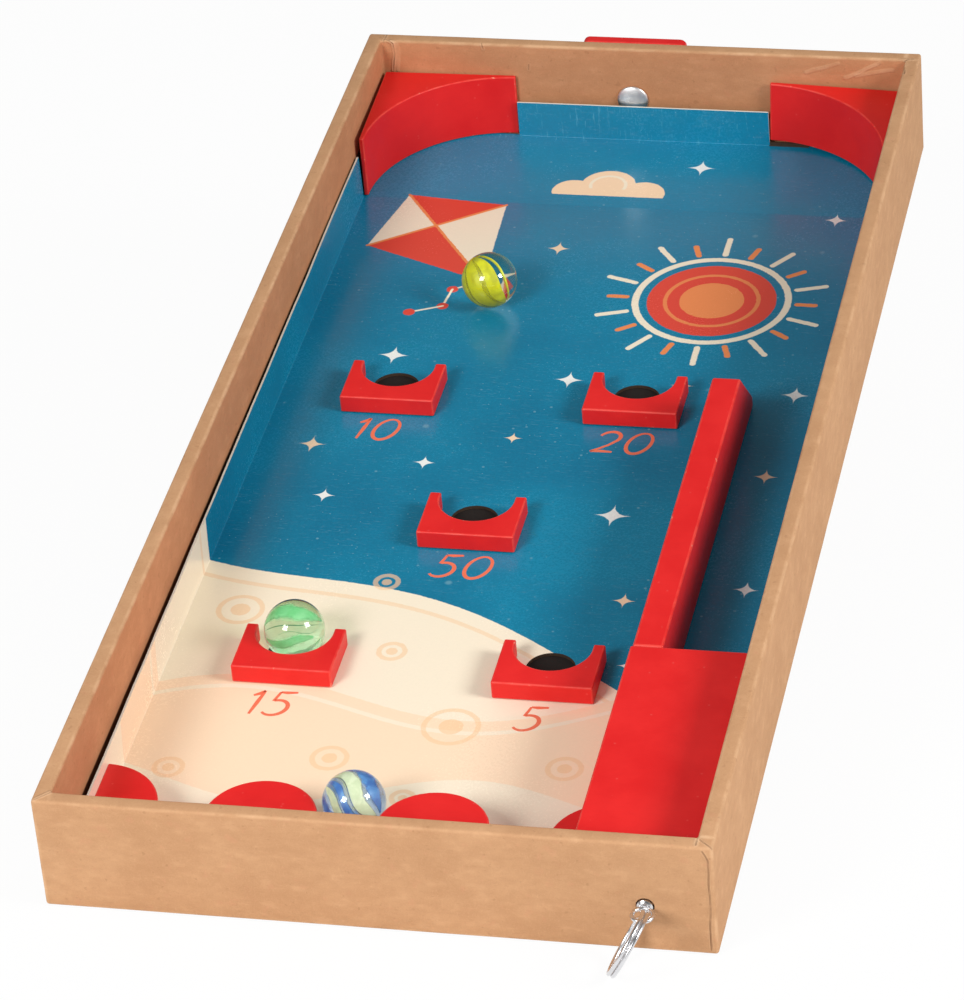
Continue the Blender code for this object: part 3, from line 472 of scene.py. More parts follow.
def print_finish():
    """Teal ink with cream dunes at the foot, a kite, a sun, a cloud and small sparkles."""
    finish = Finish("printed_card")
    x, y, _ = finish.axes()
    wobble = (finish.noise(900, 2) - 0.5) * 0.0004
    x_ink = x + wobble
    y_ink = y + wobble

    clouds = finish.noise(16, 3, 0.55)
    colour = finish.mix(finish.rise(clouds, 0.3, 0.7), DEEP_TEAL, TEAL)
    colour = finish.mix(finish.rise(y, 0.0, 0.17) * 0.5, colour, tint(4, 134, 172))

    # Dust, scuffs and grain in the teal
    for scale, size, chosen_above, share in (
            (560, 0.14, 0.6, 0.42), (240, 0.13, 0.7, 0.36), (95, 0.12, 0.78, 0.3)):
        near = finish.rise(finish.cells(scale), size, size * 0.35)
        picked = finish.node("ShaderNodeSeparateColor", inputs={0: finish.cells(scale, output="Color")})
        chosen = finish.rise(Number(finish, picked.outputs[0]), chosen_above, chosen_above + 0.04)
        colour = finish.mix(near * chosen * share, colour, tint(150, 196, 204))
    fibres = finish.noise(1, 3, 0.7, finish.scaled((300, 1900, 900)))
    colour = finish.mix(finish.rise(fibres, 0.55, 0.8) * 0.14, colour, tint(170, 205, 212))
    scuffs = finish.noise(1, 3, 0.7, finish.scaled((1500, 120, 140)))
    on_flange = finish.rise(y, 0.1775, 0.1795)
    colour = finish.mix(finish.rise(scuffs, 0.6, 0.72) * on_flange * 0.35, colour, tint(120, 200, 215))
    fine = finish.noise(1500, 3, 0.7)
    colour = finish.shade(colour, finish.rise(fine, 0.3, 0.7, 0.93, 1.07))

    def lay(distance, ink, share=1.0, edge=0.00014):
        nonlocal colour
        colour = finish.mix(finish.inside(distance, edge) * share, colour, ink)

    # Dunes at the foot
    back_dune = y_ink - (finish.sine(x * 40 + 1.9) * 0.008 - x * 0.42 - 0.070)
    front_dune = y_ink - (finish.sine(x * 46 + 4.3) * 0.010 + x * 0.10 - 0.098)
    foot_dune = y_ink - (finish.sine(x * 60 + 0.8) * 0.007 - 0.138)
    lay(back_dune, CREAM)
    lay(abs(back_dune + 0.0062) - 0.0008, DEEP_PEACH, 0.45)
    lay(front_dune.most(back_dune), tint(250, 222, 190))
    lay((abs(front_dune + 0.0050) - 0.0008).most(back_dune), CREAM, 0.9)
    lay(foot_dune.most(back_dune), CREAM)
    for centre, radius in SAND_RINGS:
        lay(abs(disc(finish, x_ink, y_ink, centre, radius)) - 0.0007, DEEP_PEACH, 0.55)
        lay(disc(finish, x_ink, y_ink, centre, radius * 0.45), DEEP_PEACH, 0.6)

    # The sun at the right
    sun = SUN_CENTRE
    lay(disc(finish, x_ink, y_ink, sun, SUN_RADIUS), CORAL)
    lay(abs(disc(finish, x_ink, y_ink, sun, SUN_RADIUS * 0.72)) - 0.0006, ORANGE, 0.9)
    lay(disc(finish, x_ink, y_ink, sun, SUN_RADIUS * 0.5), ORANGE)
    lay(abs(disc(finish, x_ink, y_ink, sun, SUN_RADIUS * 1.18)) - 0.0010, CREAM)
    for index in range(RAY_COUNT):
        turn = 2 * math.pi * index / RAY_COUNT
        aim = (math.cos(turn), math.sin(turn))
        reach = SUN_RADIUS * (1.78 if index % 2 else 1.6)
        start = (sun[0] + aim[0] * SUN_RADIUS * 1.33, sun[1] + aim[1] * SUN_RADIUS * 1.33)
        stop = (sun[0] + aim[0] * reach, sun[1] + aim[1] * reach)
        lay(bar(finish, x_ink, y_ink, start, stop, 0.0017), CREAM if index % 2 else ORANGE)

    # A cloud at the top
    puffs = None
    for centre, radius in CLOUD_PUFFS:
        puff = disc(finish, x_ink, y_ink, centre, radius)
        puffs = puff if puffs is None else puffs.least(puff)
    lay(puffs.most(0.148 - y_ink), PEACH)
    curl = abs(disc(finish, x_ink, y_ink, (-0.006, 0.154), 0.0052)) - 0.0005
    lay(curl.most(0.152 - y_ink), CREAM)

    # The kite at the left, with its tail
    nose, middle, left, right, foot = [tuple(Vector(spot) + KITE_SHIFT) for spot in KITE_SPOTS]
    for corners, ink in (([nose, left, middle], CREAM), ([nose, middle, right], CORAL),
                         ([left, foot, middle], CORAL), ([middle, foot, right], CREAM)):
        lay(polygon(finish, x_ink, y_ink, corners), ink)
    for first, second in ((nose, foot), (left, right)):
        lay(bar(finish, x_ink, y_ink, first, second, 0.0009), ORANGE)
    tail = [foot, (foot[0] - 0.008, foot[1] - 0.005), (foot[0] - 0.009, foot[1] - 0.014),
            (foot[0] - 0.018, foot[1] - 0.018)]
    for first, second in zip(tail, tail[1:]):
        lay(bar(finish, x_ink, y_ink, first, second, 0.0007), CREAM)
        lay(disc(finish, x_ink, y_ink, second, 0.0017), CORAL)

    inks = {"white": WHITE_INK, "peach": PEACH}
    for centre, size, ink in SPARKLES:
        lay(sparkle(finish, x_ink, y_ink, centre, size), inks[ink], 0.95, 0.00022)

    colour = finish.shade(colour, finish.rise(fine, 0.3, 0.7, 0.99, 1.01))
    rough = finish.rise(clouds * 0.6 + fine * 0.4, 0.3, 0.7, 0.2, 0.3)
    return finish.set(Base_Color=colour, Roughness=rough, Specular_IOR_Level=0.5,
                      Normal=finish.bump(fibres * 0.4 + fine * 0.6, 0.00005, 0.3))


def number_ink_finish():
    """Coral ink, thinner in places."""
    finish = Finish("number_ink")
    fine = finish.noise(1500, 3, 0.6)
    colour = finish.mix(finish.rise(fine, 0.5, 0.8) * 0.3, tint(236, 116, 84), tint(248, 168, 136))
    return finish.set(Base_Color=colour, Roughness=0.5, Normal=finish.bump(fine, 0.00004, 0.3))


def glass_finish(name, colour):
    """Clear tinted glass, faintly uneven, whose shadow lets most of the light through."""
    finish = Finish(name)
    ripples = finish.noise(180, 2)
    finish.set(Base_Color=colour, Transmission_Weight=1.0, IOR=1.5,
               Roughness=finish.rise(ripples, 0.3, 0.7, 0.0, 0.012))
    light = finish.node("ShaderNodeLightPath")
    clear = finish.node("ShaderNodeBsdfTransparent", inputs={"Color": colour})
    blend = finish.node("ShaderNodeMixShader", inputs={
        0: finish.math("MULTIPLY", light.outputs["Is Shadow Ray"], 0.8),
        1: finish.surface.outputs[0], 2: clear.outputs[0],
    })
    finish.links.new(blend.outputs[0], finish.output.inputs["Surface"])
    return finish.material


def ribbon_finish(name, main, second, cover=1.0, soft=0.0):
    """A streaky ribbon of coloured glass inside a marble; soft is how far its edges fade."""
    finish = Finish(name)
    across = finish.attribute("across")
    streaks = finish.noise(1, 3, 0.6, finish.scaled((260, 260, 260)), 0.6)
    fine = finish.noise(900, 2, 0.5)
    colour = finish.mix(finish.rise(streaks, 0.38, 0.64), main, second)
    inside = abs(across - 0.5) + (streaks - 0.5) * 0.5
    cover_here = finish.rise(inside, 0.5, 0.5 - soft) * cover if soft else cover
    rough = finish.rise(fine, 0.2, 0.8, 0.3, 0.45)
    return finish.set(Base_Color=colour, Roughness=rough, Alpha=cover_here)


KRAFT = kraft_finish()
CARD_CORE = bare_card_finish("card_core", 1800, 2, tint(214, 214, 202), tint(242, 238, 224), 0.85)
# Near-black card under the playfield, this dark as painted shade for what shows down the holes
BACKING_SHADE_CARD = bare_card_finish("dark_card", 1300, 3, tint(16, 11, 8), tint(36, 26, 20), 0.9)
RED_PAINT = red_paint_finish()
STEEL = steel_finish()
NICKEL = screw_finish()
PRINT = print_finish()
# Dark card for the plate's edges round the holes and the strip under the right block: painted shade
SHADED_HOLE_EDGE = bare_card_finish("shaded_hole_edge", 1500, 3, tint(36, 25, 17), tint(70, 52, 33), 0.8)
NUMBER_INK = number_ink_finish()


# Mesh building

SHARP_ANGLE = math.radians(32)


def mesh_of(name, shape):
    """A mesh made from a working shape, which is freed."""
    mesh = bpy.data.meshes.new(name)
    shape.to_mesh(mesh)
    shape.free()
    return mesh


def shape_of(mesh):
    """A working shape made from a mesh, which is removed."""
    shape = bmesh.new()
    shape.from_mesh(mesh)
    bpy.data.meshes.remove(mesh)
    return shape


def linked(name, data):
    """A new object in the scene."""
    item = bpy.data.objects.new(name, data)
    bpy.context.scene.collection.objects.link(item)
    return item


def evaluated_mesh(item, *tools):
    """The mesh that an object's curve or modifiers give; the object and its tools are removed."""
    bpy.context.view_layer.update()
    evaluated = item.evaluated_get(bpy.context.evaluated_depsgraph_get())
    mesh = bpy.data.meshes.new_from_object(evaluated)
    for spent in (item, *tools):
        bpy.data.objects.remove(spent, do_unlink=True)
    return mesh


def add_piece(name, shape, materials, body, replaces=(), weighted=True):
    """Makes an object from a shape in the board's frame, which then rides on its body."""
    bmesh.ops.recalc_face_normals(shape, faces=shape.faces)
    return finish_piece(name, mesh_of(name, shape), materials, body, replaces, weighted)


def finish_piece(name, mesh, materials, body, replaces=(), weighted=True, turn=BOARD):
    """Makes an object from a mesh that turn takes from its own frame to the world."""
    mesh.transform(turn)
    for material in materials:
        mesh.materials.append(material)
    mesh.shade_smooth()
    mesh.set_sharp_from_angle(angle=SHARP_ANGLE)
    piece = linked(name, mesh)
    if weighted:
        normals = piece.modifiers.new("even_shading", "WEIGHTED_NORMAL")
        normals.keep_sharp = True
    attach(piece, body)
    if replaces:
        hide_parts(*replaces)
    return piece


def slab(outline, low, high):
    """A flat outline, anticlockwise from above, raised between two heights."""
    shape = bmesh.new()
    bottom = [shape.verts.new((x, y, low)) for x, y in outline]
    top = [shape.verts.new((x, y, high)) for x, y in outline]
    shape.faces.new(bottom[::-1])
    shape.faces.new(top)
    count = len(outline)
    for index in range(count):
        after = (index + 1) % count
        shape.faces.new((bottom[index], bottom[after], top[after], top[index]))
    return shape


def prism(near_points, far_points):
    """A closed form between two outlines with as many corners."""
    shape = bmesh.new()
    near = [shape.verts.new(point) for point in near_points]
    far = [shape.verts.new(point) for point in far_points]
    shape.faces.new(near)
    shape.faces.new(far[::-1])
    for index in range(len(near)):
        after = (index + 1) % len(near)
        shape.faces.new((near[index], far[index], far[after], near[after]))
    bmesh.ops.recalc_face_normals(shape, faces=shape.faces)
    return shape


def soften(shape, width, segments):
    """Rounds a shape's sharp edges and marks the new faces as edge."""
    mark = shape.faces.layers.float.get("edge") or shape.faces.layers.float.new("edge")
    shape.normal_update()
    sharp = [edge for edge in shape.edges
             if len(edge.link_faces) == 2 and edge.calc_face_angle() > SHARP_ANGLE]
    made = bmesh.ops.bevel(shape, geom=sharp, offset=width, offset_type="OFFSET", segments=segments,
                           profile=0.5, affect="EDGES", clamp_overlap=True)
    for face in made["faces"]:
        face[mark] = 1
    return shape


def arc(centre, radius, start, end, steps):
    """Points along an arc, with both its ends."""
    turns = [start + (end - start) * step / steps for step in range(steps + 1)]
    return [(centre[0] + radius * math.cos(turn), centre[1] + radius * math.sin(turn)) for turn in turns]


def hexahedron(low, high):
    """A block between two corners."""
    shape = bmesh.new()
    bmesh.ops.create_cube(shape, size=1)
    bmesh.ops.scale(shape, vec=high - low, verts=shape.verts)
    bmesh.ops.translate(shape, vec=(low + high) / 2, verts=shape.verts)
    return shape


def cut_with(shape, cutters):
    """Takes closed cutter shapes out of a shape, with an exact Boolean."""
    base = linked("base", mesh_of("base", shape))
    tools = [linked("tool", mesh_of("tool", cutter)) for cutter in cutters]
    for tool in tools:
        boolean = base.modifiers.new("cut", "BOOLEAN")
        boolean.object = tool
        boolean.operation = "DIFFERENCE"
        boolean.solver = "EXACT"
    return shape_of(evaluated_mesh(base, *tools))


def rod_shape(foot, radius, length):
    """A cylinder from a point towards the board's back."""
    shape = bmesh.new()
    turn = Vector((0, 1, 0)).to_track_quat("Z", "Y").to_matrix().to_4x4()
    bmesh.ops.create_cone(shape, cap_ends=True, segments=48, radius1=radius, radius2=radius,
                          depth=length)
    bmesh.ops.translate(shape, vec=(0, 0, length / 2), verts=shape.verts)
    bmesh.ops.transform(shape, matrix=Matrix.Translation(foot) @ turn, verts=shape.verts)
    return shape


# Tray

ROD_CENTRE = BOARD.inverted() @ Vector(JOINTS["ring_swing"]["pos_m"])
PIVOT = BOARD.inverted() @ Vector(JOINTS["leg_fold"]["pos_m"])
PAPER = 0.00008
BORE_RADIUS = 0.0023
ROD_RADIUS = 0.002
GRIP_RADIUS = 0.00215
CUT_OVERRUN = 0.002


def tray_shape():
    """An open box whose board is a little uneven, inset by the paper's thickness."""
    out_x, out_y = TRAY_HIGH.x - PAPER, TRAY_HIGH.y - PAPER
    top = TRAY_HIGH.z - PAPER
    levels = (
        (out_x, out_y, TRAY_LOW.z + PAPER), (out_x, out_y, top),
        (INNER_X, INNER_Y, top), (INNER_X, INNER_Y, TRAY_LOW.z + TRAY_FLOOR),
    )
    shape = bmesh.new()
    loops = []
    for half_x, half_y, z in levels:
        corners = ((-half_x, -half_y), (half_x, -half_y), (half_x, half_y), (-half_x, half_y))
        loops.append([shape.verts.new((x, y, z)) for x, y in corners])
    shape.faces.new(loops[0][::-1])
    for lower, upper in zip(loops, loops[1:]):
        for index in range(4):
            after = (index + 1) % 4
            shape.faces.new((lower[index], lower[after], upper[after], upper[index]))
    shape.faces.new(loops[-1])
    bmesh.ops.recalc_face_normals(shape, faces=shape.faces)
    soften(shape, 0.0008, 4)
    for axis, cuts in ((0, 24), (1, 52), (2, 5)):
        wanted = []
        for edge in shape.edges:
            along = edge.verts[1].co - edge.verts[0].co
            if abs(along[axis]) > 0.02 and abs(along[axis]) > 0.98 * along.length:
                wanted.append(edge)
        bmesh.ops.subdivide_edges(shape, edges=wanted, cuts=cuts, use_grid_fill=True)
    shape.normal_update()
    moves = {}
    for vertex in shape.verts:
        slow = noise.noise(vertex.co * 26)
        quick = noise.noise(vertex.co * 140 + Vector((7, 3, 1)))
        settled = 0.0003 if vertex.co.y < -INNER_Y else 0.00012
        sag = settled * (1 + slow) if vertex.co.z > TRAY_HIGH.z - 0.004 else 0
        moves[vertex] = vertex.normal * (0.00005 * slow + 0.00003 * quick) - Vector((0, 0, sag))
    for vertex, move in moves.items():
        vertex.co += move
    return shape


def make_tray():
    feet = ((ROD_CENTRE.x, TRAY_LOW.y - TRAY_WALL, ROD_CENTRE.z), (PIVOT.x, INNER_Y - TRAY_WALL, PIVOT.z))
    holes = [rod_shape(foot, BORE_RADIUS, TRAY_WALL * 3) for foot in feet]
    shape = cut_with(tray_shape(), holes)
    add_piece("tray_board", shape, [KRAFT], "board", ["tray"], weighted=False)


def make_paper_flaps():
    """Strips of the wrapping paper that turn round each corner onto the end walls."""
    for name, side, end, reach in (("paper_flap_front_right", 1, -1, 0.0018),
                                   ("paper_flap_back_right", 1, 1, 0.006),
                                   ("paper_flap_back_left", -1, 1, 0.005)):
        face_y = end * TRAY_HIGH.y
        outer = side * (TRAY_HIGH.x - 0.0009)
        inner_low = side * (TRAY_HIGH.x - reach)
        inner_high = side * (TRAY_HIGH.x - reach * 0.9)
        low, high = TRAY_LOW.z + 0.001, TRAY_HIGH.z - 0.0035
        corners = [(inner_low, low), (outer, low), (outer, high), (inner_high, high)]
        if side < 0:
            corners.reverse()
        back_y = face_y - end * PAPER * 1.4
        shape = prism([(x, face_y, z) for x, z in corners], [(x, back_y, z) for x, z in corners])
        soften(shape, PAPER * 0.4, 2)
        add_piece(name, shape, [KRAFT], "board")


# Cards

FOLD_RADIUS = 0.0008
FLANGE_THICKNESS = 0.00055
END_FLANGE_HEIGHT = 0.0115
HOLE_RADIUS = 0.0065
HOLE_FROM_FRONT = 0.0145
HOLE_SHIFT = -0.0007
CORNER_GAP = 0.0003
HOUSING_LOW, HOUSING_HIGH = board_box("plunger_housing")
LEFT_CORNER_LOW, LEFT_CORNER_HIGH = board_box("corner_deflector_left")
END_FLANGE_TOP = FIELD_TOP + END_FLANGE_HEIGHT
CORNER_CUT_Y = LEFT_CORNER_LOW.y - CORNER_GAP
CORNER_CUT_X = -LEFT_CORNER_HIGH.x - CORNER_GAP


# The sheet under the playfield is near-black card: painted shade for what shows down the holes
def make_backing_sheet():
    low, high = board_box("backing_sheet")
    shape = soften(hexahedron(low, high), 0.0001, 2)
    add_piece("backing_card", shape, [BACKING_SHADE_CARD], "board", ["backing_sheet"])


def field_plate():
    """The flat of the playfield with its five holes, as one slab."""
    curve = bpy.data.curves.new("field_plate", "CURVE")
    curve.dimensions = "2D"
    curve.fill_mode = "BOTH"
    curve.extrude = CARD_THICKNESS / 2
    fold = FOLD_RADIUS + CARD_THICKNESS - FLANGE_THICKNESS
    half_x = FIELD_HIGH.x - fold
    low_y, high_y = FIELD_LOW.y + fold, FIELD_HIGH.y - fold
    full_x, full_y = FIELD_HIGH.x - 0.0001, FIELD_HIGH.y - 0.0001
    outlines = [[
        (-half_x, low_y), (half_x, low_y), (half_x, CORNER_CUT_Y), (full_x, CORNER_CUT_Y),
        (full_x, full_y), (CORNER_CUT_X, full_y), (CORNER_CUT_X, high_y), (-CORNER_CUT_X, high_y),
        (-CORNER_CUT_X, full_y), (-full_x, full_y), (-full_x, CORNER_CUT_Y), (-half_x, CORNER_CUT_Y),
    ]]
    for name in CATCHER_NODES:
        low, high = board_box(name)
        centre = ((low.x + high.x) / 2 + HOLE_SHIFT, low.y + HOLE_FROM_FRONT)
        outlines.append(arc(centre, HOLE_RADIUS, 0, 2 * math.pi, 72)[:-1])
    for outline in outlines:
        spline = curve.splines.new("POLY")
        spline.points.add(len(outline) - 1)
        for point, (x, y) in zip(spline.points, outline):
            point.co = (x, y, 0, 1)
        spline.use_cyclic_u = True
    mesh = evaluated_mesh(linked("field_plate", curve))
    mesh.transform(Matrix.Translation((0, 0, FIELD_TOP - CARD_THICKNESS / 2)))
    shape = shape_of(mesh)
    bmesh.ops.remove_doubles(shape, verts=shape.verts, dist=0.000001)
    return shape


def flange_shape(start, end, height, lean_start, lean_end, inward):
    """A card flange with its fold, from start to end; inward points to the field's middle."""
    thickness = FLANGE_THICKNESS
    shape = bmesh.new()
    count = 40
    fold_steps = 6
    start, end, inward = Vector(start), Vector(end), Vector(inward)
    rows = []
    for index in range(count + 1):
        share = index / count
        foot = start.lerp(end, share)
        lean = lean_start + (lean_end - lean_start) * share
        sway = 0.00012 * noise.noise(foot * 60)
        inner, outer = [], []
        for step in range(fold_steps + 1):
            turn = math.pi / 2 * step / fold_steps
            for radius, side in ((FOLD_RADIUS - thickness, inner), (FOLD_RADIUS, outer)):
                across = FOLD_RADIUS - radius * math.sin(turn)
                up = FOLD_RADIUS - radius * math.cos(turn)
                side.append(foot + inward * across + Vector((0, 0, up)))
        for step in range(1, 5):
            rise = (height - FOLD_RADIUS) * step / 4
            tilt = lean * (step / 4) ** 1.3 + sway * step / 4
            inner.append(foot + inward * (thickness + tilt) + Vector((0, 0, FOLD_RADIUS + rise)))
            outer.append(foot + inward * tilt + Vector((0, 0, FOLD_RADIUS + rise)))
        rows.append([shape.verts.new(point) for point in inner + outer[::-1]])
    cut = shape.faces.layers.int.new("cut")
    inner_count = len(inner)
    for first, second in zip(rows, rows[1:]):
        for index in range(len(first)):
            after = (index + 1) % len(first)
            face = shape.faces.new((first[index], first[after], second[after], second[index]))
            if index == inner_count - 1:
                face[cut] = 1
    for row in (rows[0], rows[-1][::-1]):
        shape.faces.new(row)[cut] = 1
    return shape


def make_playfield():
    """The plate and its flanges; printed, with a pale cut edge and hole edges in dark card as painted shade."""
    plate = field_plate()
    cut = plate.faces.layers.int.new("cut")
    plate.normal_update()
    # The plate's cut edges, round the holes, take the dark card as painted shade
    for face in plate.faces:
        if abs(face.normal.z) < 0.5:
            face[cut] = 2
    spare = CARD_THICKNESS - FLANGE_THICKNESS
    bottom = FIELD_TOP - FLANGE_THICKNESS
    side_height = FIELD_HIGH.z - bottom
    end_height = END_FLANGE_TOP - bottom
    left_x, right_x = FIELD_LOW.x + spare, FIELD_HIGH.x - spare
    front, back = FIELD_LOW.y + spare, FIELD_HIGH.y - spare
    side_foot = front + 0.0004
    flanges = [flange_shape(*flange) for flange in (
        ((left_x, side_foot, bottom), (left_x, CORNER_CUT_Y, bottom), side_height,
         0.0008, -0.0004, (1, 0, 0)),
        ((right_x, side_foot, bottom), (right_x, CORNER_CUT_Y, bottom), side_height,
         0.0001, -0.0002, (-1, 0, 0)),
        ((-CORNER_CUT_X, back, bottom), (CORNER_CUT_X + 0.0002, back, bottom), end_height,
         0.0001, 0.0002, (0, -1, 0)),
        ((left_x + 0.002, front, bottom), (HOUSING_LOW.x - 0.0006, front, bottom), end_height,
         0, 0, (0, 1, 0)),
    )]

    # A low strip of dark card under the tilted right block: a painted shadow in the gap under it
    stop = flange_shape((CORNER_CUT_X, back, bottom), (CORNER_CUT_X + 0.012, back, bottom),
                        FLANGE_THICKNESS + 0.0011, 0, 0, (0, -1, 0))
    dark = stop.faces.layers.int["cut"]
    for face in stop.faces:
        face[dark] = 2
    joined = bmesh.new()
    for form in [plate, stop] + flanges:
        bmesh.ops.recalc_face_normals(form, faces=form.faces)
        part = mesh_of("part", form)
        joined.from_mesh(part)
        bpy.data.meshes.remove(part)
    cut = joined.faces.layers.int["cut"]
    for face in joined.faces:
        face.material_index = face[cut]
    finish_piece("playfield_print", mesh_of("playfield_print", joined), [PRINT, CARD_CORE, SHADED_HOLE_EDGE],
                 "board", ["playfield"], weighted=False)


# Numbers on the field

def stroke(shape, points, width, z):
    """A flat line of ink with a pen's swelling, as a thin ribbon."""
    left, right = [], []
    count = len(points)
    for index, (x, y) in enumerate(points):
        before = points[max(index - 1, 0)]
        after = points[min(index + 1, count - 1)]
        run, rise = after[0] - before[0], after[1] - before[1]
        length = math.hypot(run, rise) or 1
        share = index / (count - 1)
        half = width / 2 * (0.62 + 0.38 * math.sin(math.pi * share))
        left.append((x - rise / length * half, y + run / length * half))
        right.append((x + rise / length * half, y - run / length * half))
    outline = left + right[::-1]
    low = [shape.verts.new((x, y, z)) for x, y in outline]
    high = [shape.verts.new((x, y, z + INK_THICKNESS)) for x, y in outline]
    total = len(outline)
    for index in range(count - 1):
        other = total - 1 - index
        shape.faces.new((high[index], high[other], high[other - 1], high[index + 1]))
        shape.faces.new((low[index + 1], low[other - 1], low[other], low[index]))
    for index in range(total):
        after = (index + 1) % total
        shape.faces.new((low[index], high[index], high[after], low[after]))


def digit_strokes(digit):
    """Pen strokes of a digit in a box one high; the pen leans by the slant added later."""
    if digit == "0":
        points = [(0.34 + 0.32 * math.cos(turn), 0.5 + 0.5 * math.sin(turn))
                  for turn in [math.pi / 2 + 2 * math.pi * step / 32 for step in range(33)]]
        return [points], 0.68
    if digit == "1":
        return [[(0.0, 0.78), (0.12, 0.86), (0.22, 1.0)], [(0.22, 1.0), (0.22, 0.5), (0.22, 0.0)]], 0.3
    if digit == "2":
        bow = [(0.30 + 0.28 * math.cos(turn), 0.72 + 0.28 * math.sin(turn))
               for turn in [math.pi * 0.92 - math.pi * 1.15 * step / 18 for step in range(19)]]
        foot = [(0.02, 0.02), (0.3, 0.05), (0.62, 0.03)]
        return [bow + [(0.40, 0.36), (0.20, 0.16), (0.02, 0.02)], foot], 0.64
    bow = [(0.24 + 0.32 * math.cos(turn), 0.32 + 0.32 * math.sin(turn))
           for turn in [math.pi * 0.62 - math.pi * 1.4 * step / 20 for step in range(21)]]
    return [[(0.12, 0.98), (0.11, 0.8), (0.09, 0.6)] + bow, [(0.12, 0.98), (0.3, 0.97), (0.56, 1.0)]], 0.6


NUMBER_PLACES = {
    "10": (-0.0465, 0.0208), "20": (0.0229, 0.0205), "50": (-0.0092, -0.0412),
    "15": (-0.0465, -0.1051), "5": (0.0216, -0.1046),
}
NUMBER_HEIGHT = 0.0100
NUMBER_GAP_SHARE = 0.22
NUMBER_SLANT_SHARE = 0.22
PEN_WIDTH = 0.00115
INK_THICKNESS = 0.00003


def make_numbers():
    for text, (centre_x, centre_y) in NUMBER_PLACES.items():
        shape = bmesh.new()
        drawn = [digit_strokes(digit) for digit in text]
        total = sum(width for _, width in drawn) + NUMBER_GAP_SHARE * (len(drawn) - 1)
        pen_x = -total / 2
        for strokes, width in drawn:
            for points in strokes:
                placed = [(centre_x + NUMBER_HEIGHT * (pen_x + x + NUMBER_SLANT_SHARE * (y - 0.5)),
                           centre_y + NUMBER_HEIGHT * (y - 0.5)) for x, y in points]
                stroke(shape, placed, PEN_WIDTH, FIELD_TOP + 0.00001)
            pen_x += width + NUMBER_GAP_SHARE
        add_piece("number_" + text, shape, [NUMBER_INK], "board", weighted=False)


# Red blocks

CATCHER_NOTCH_RADIUS = 0.0102
CATCHER_LAND = 0.0066
DEFLECTOR_END = 0.0014
LEG_CORNER_RADIUS = 0.002


def catcher_outline(low, high):
    """A block seen from above, with a round notch at its back."""
    half = (high.x - low.x) / 2
    middle = (low.x + high.x) / 2
    radius = CATCHER_NOTCH_RADIUS
    notch_y = low.y + CATCHER_LAND + radius
    notch = arc((0, notch_y), radius, 0, -math.pi, 40)
    outline = [(-half, low.y), (half, low.y), (half, high.y), (radius, high.y), *notch,
               (-radius, high.y), (-half, high.y)]
    return [(middle + x, y) for x, y in outline]


def make_catchers():
    for name in CATCHER_NODES:
        low, high = board_box(name)
        shape = soften(slab(catcher_outline(low, high), low.z, high.z), 0.00045, 4)
        add_piece(name.replace("catcher", "scoring_block"), shape, [RED_PAINT], "board", [name])


# The blocks are glued a little askew
LEFT_BLOCK_TURN = math.radians(0.9)
RIGHT_BLOCK_TILT = math.radians(2.1)


def make_corner_deflectors():
    """Square blocks hollowed by a quarter circle, each turned a little about a corner."""
    for name, side in (("corner_deflector_left", -1), ("corner_deflector_right", 1)):
        low, high = board_box(name)
        reach = high.x - low.x
        radius = reach - DEFLECTOR_END
        centre_x = high.x if side < 0 else low.x
        outline = [(-reach, 0), *arc((0, 0), radius, math.pi, math.pi / 2, 64), (0, reach),
                   (-reach, reach)]
        outline = [(centre_x - side * x, low.y + y) for x, y in outline]
        if side > 0:
            outline.reverse()
        shape = soften(slab(outline, low.z, high.z), 0.0004, 3)
        corner = Vector((low.x if side < 0 else high.x, high.y if side < 0 else low.y, low.z))
        askew = (Matrix.Rotation(LEFT_BLOCK_TURN, 4, "Z") if side < 0
                 else Matrix.Rotation(RIGHT_BLOCK_TILT, 4, "Y"))
        about = Matrix.Translation(corner) @ askew @ Matrix.Translation(-corner)
        bmesh.ops.transform(shape, matrix=about, verts=shape.verts)
        add_piece("curved_" + name, shape, [RED_PAINT], "board", [name])


def make_lane_bar():
    """A bar with a sloped far end that runs up to the housing without a gap."""
    low, high = board_box("lane_bar")
    low.y -= 0.00022
    slope_run, slope_foot = 0.016, 0.0033
    outline = [(low.y, low.z), (high.y, low.z), (high.y, low.z + slope_foot),
               (high.y - slope_run, high.z), (low.y, high.z)]
    shape = prism([(low.x, y, z) for y, z in outline], [(high.x, y, z) for y, z in outline])
    soften(shape, 0.0006, 4)
    add_piece("lane_rail", shape, [RED_PAINT], "board", ["lane_bar"])


CHANNEL_WIDTH = 0.0185
CHANNEL_HEIGHT = 0.0172
CHANNEL_FRONT_WALL = 0.006


def make_plunger_housing():
    """A block with a channel from below for the marble and a bore for the rod."""
    low, high = HOUSING_LOW, HOUSING_HIGH
    shape = soften(hexahedron(low, high), 0.0005, 4)
    half = CHANNEL_WIDTH / 2
    channel = hexahedron(
        Vector((ROD_CENTRE.x - half, low.y + CHANNEL_FRONT_WALL, low.z - CUT_OVERRUN)),
        Vector((ROD_CENTRE.x + half, high.y + CUT_OVERRUN, low.z + CHANNEL_HEIGHT)),
    )
    edges = [edge for edge in channel.edges
             if all(vertex.co.z > low.z for vertex in edge.verts)
             and abs(edge.verts[0].co.y - edge.verts[1].co.y) > 0.01]
    bmesh.ops.bevel(channel, geom=edges, offset=0.0015, segments=6, profile=0.5, affect="EDGES")
    bore = rod_shape((ROD_CENTRE.x, low.y - CUT_OVERRUN, ROD_CENTRE.z), BORE_RADIUS, 0.010)
    shape = cut_with(shape, [channel, bore])
    add_piece("plunger_cover", shape, [RED_PAINT], "board", ["plunger_housing"])


CREST_DROP = 0.0014
CREST_FILLET = 0.002


